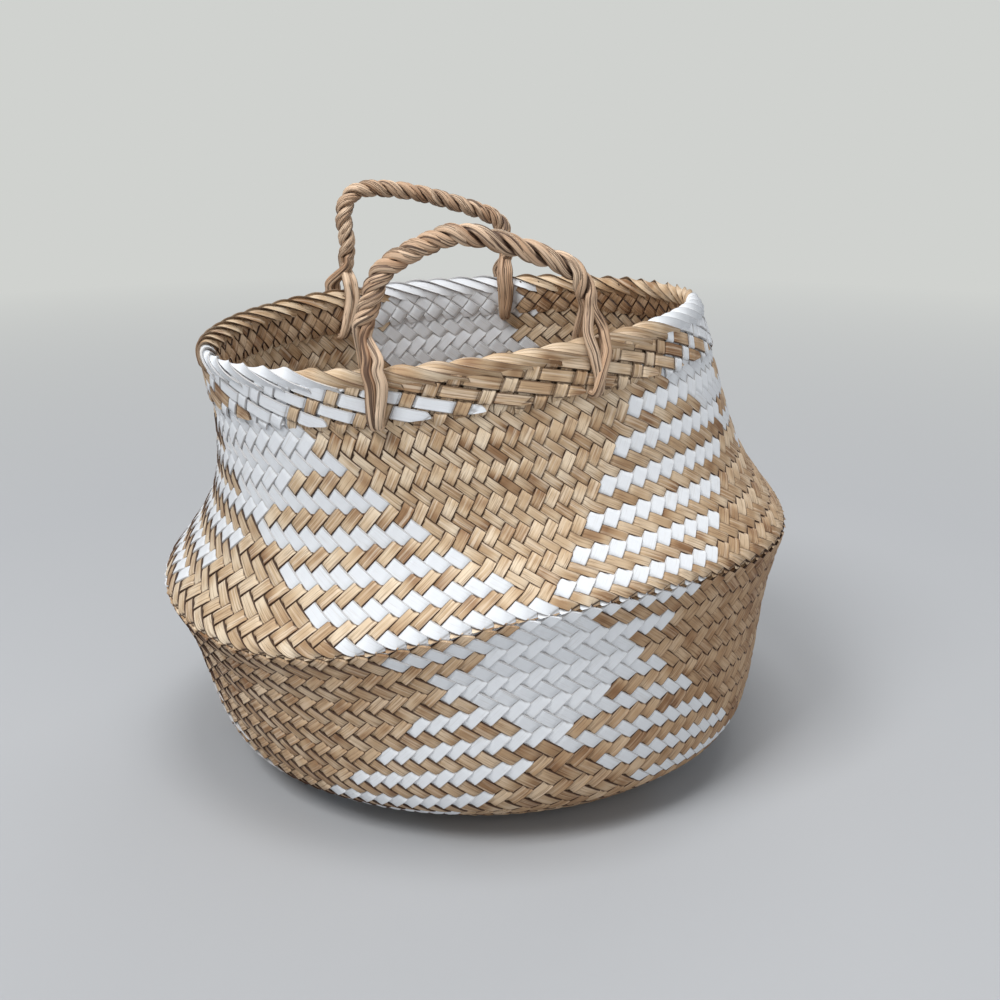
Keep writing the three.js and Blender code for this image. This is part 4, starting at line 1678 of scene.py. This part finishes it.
@dataclass
class Studio:
    """Camera, pale floor and background, and soft lights. A lamp is given as name, place, size and power."""

    camera_at: tuple[float, float, float] = (6.3 * MM, -633.2 * MM, 321.8 * MM)
    pitch: float = 17.94
    lens: float = 49.406
    sensor: float = 36.0
    clip: tuple[float, float] = (0.01, 20.0)
    floor_colour: Colour = srgb(167, 169, 172)
    floor_roughness: float = 0.9
    backdrop: Colour = srgb(208, 210, 207)
    sky_colour: Colour = srgb(218, 220, 222)
    sky: float = 0.48
    floor_half: float = 8.0
    fade: tuple[float, float] = (0.45, 1.5)
    aim: tuple[float, float, float] = (0.0, 0.0, 0.12)
    lamps: tuple[tuple[str, tuple[float, float, float], float, float], ...] = (
        ("key", (-1.1, -1.3, 2.3), 1.0, 53), ("fill", (1.0, -1.9, 0.9), 1.6, 10),
        ("top", (0.1, -0.3, 2.4), 0.9, 22), ("back", (0.7, 1.9, 1.6), 1.6, 14))

    def camera(self) -> None:
        """Places the camera at the photograph's angle."""
        data = bpy.data.cameras.new("camera")
        data.lens, data.sensor_width = self.lens, self.sensor
        data.clip_start, data.clip_end = self.clip
        camera = bpy.data.objects.new("camera", data)
        camera.location = self.camera_at
        camera.rotation_euler = (math.radians(90 - self.pitch), 0, 0)
        bpy.context.scene.collection.objects.link(camera)
        bpy.context.scene.camera = camera

    def lights(self) -> None:
        """Adds the lamps, which look at the basket, and the world."""
        for name, at, size, power in self.lamps:
            data = bpy.data.lights.new(name, "AREA")
            data.size, data.energy = size, power
            lamp = bpy.data.objects.new(name, data)
            lamp.location = at
            lamp.rotation_euler = (Vector(self.aim) - Vector(at)).to_track_quat("-Z", "Y").to_euler()
            bpy.context.scene.collection.objects.link(lamp)
        world = bpy.data.worlds.new("studio")
        world.use_nodes = True
        world.node_tree.nodes.clear()
        tree = Graph(world.node_tree)
        light = tree.node("ShaderNodeBackground", {}, {"Color": self.sky_colour, "Strength": self.sky})
        seen = tree.node("ShaderNodeBackground", {}, {"Color": self.backdrop, "Strength": 1.0})
        camera = tree.node("ShaderNodeLightPath")["Is Camera Ray"]
        mixed = tree.node("ShaderNodeMixShader", {}, {0: camera, 1: light[0], 2: seen[0]})
        tree.node("ShaderNodeOutputWorld", {}, {"Surface": mixed[0]})
        bpy.context.scene.world = world

    def floor(self) -> None:
        """Adds the floor, which fades into the background away from the basket."""
        half = self.floor_half
        mesh = bpy.data.meshes.new("floor")
        mesh.from_pydata([(-half, -half, 0), (half, -half, 0), (half, half, 0), (-half, half, 0)], [], [(0, 1, 2, 3)])
        floor = bpy.data.objects.new("floor", mesh)
        bpy.context.scene.collection.objects.link(floor)
        shade = Shade("floor_paper")
        away = shade.between(shade.node("ShaderNodeTexCoord")["Object"].length(), *self.fade)
        camera = shade.node("ShaderNodeLightPath")["Is Camera Ray"]
        colours = {"Base Color": self.floor_colour, "Roughness": self.floor_roughness}
        paper = shade.node("ShaderNodeBsdfPrincipled", {}, colours)
        glow = shade.node("ShaderNodeEmission", {}, {"Color": self.backdrop, "Strength": 1.0})
        mixed = shade.node("ShaderNodeMixShader", {}, {0: away * camera, 1: paper[0], 2: glow[0]})
        shade.node("ShaderNodeOutputMaterial", {}, {"Surface": mixed[0]})
        mesh.materials.append(shade.material)


def main() -> None:
    """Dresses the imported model."""
    logging.basicConfig(level=logging.INFO, format="%(message)s")
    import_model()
    studio = Studio()
    studio.camera()
    straw = StrawFinish().material()
    # Copies of the straw with painted shade: browner for the lower wall and the bottom, and for the inside of the rim
    low = StrawFinish("low_strip", age=0.4).material()
    # The rim's straw: a little painted shade, and weaker painted shade at the edges
    rim = StrawFinish("rim_strip", age=0.05, seams=0.75).material()
    inner = StrawFinish("inner_strip", age=0.42, aged=(0.62, 0.43, 0.29)).material()
    white = PaintFinish().material()
    rope = RopeFinish().material()
    plait, yarn = PlaitTree(), YarnTree()
    outline = Outline()
    weave = [(piece, node, "body_weave") for piece, node in Walls(outline, straw, low, white).build(plait)]
    weave += [(piece, "woven_base", "body_weave") for piece in Mat(outline, low).build(plait)]
    for part, node in ((RimBand(outline, rim, white), "rim_band_outer"),
                       (RimLining(outline, inner, white), "rim_band_inner"),
                       (RimEdge(outline, rim, white), "rim_edge")):
        weave += [(piece, node, "rim_weave") for piece in part.build(plait)]
    for piece, node, slot in weave:
        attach(piece, "basket")
        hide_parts(node)
        LOG.info("%s: %d faces", piece.name, len(piece.data.polygons))
    handles = (
        RopeHandle(outline, rope, "front_handle", Foot(-104, -1.5, outer=(2.5, 5.3)), Foot(-59, -3.4, crossed=True),
                   FRONT_BEND, lays=((0, 14), (0.42, 15), (0.55, 27), (0.85, 27), (1, 18))),
        RopeHandle(outline, rope, "rear_handle", Foot(121, 4.6, outer=(7, 7), inner=(3, 0)),
                   Foot(77, 3.1, outer=(0, 4.5)), REAR_BEND, lays=((0, 17), (0.3, 17), (0.5, 20), (1, 18))),
    )
    for handle, side in zip(handles, ("front", "rear")):
        piece = handle.build(yarn)
        handle.dress(piece, side)
        LOG.info("%s: %d faces", piece.name, len(piece.data.polygons))
    studio.floor()
    studio.lights()
    bpy.context.scene.view_settings.view_transform = "Standard"


if __name__ == "__main__":
    main()
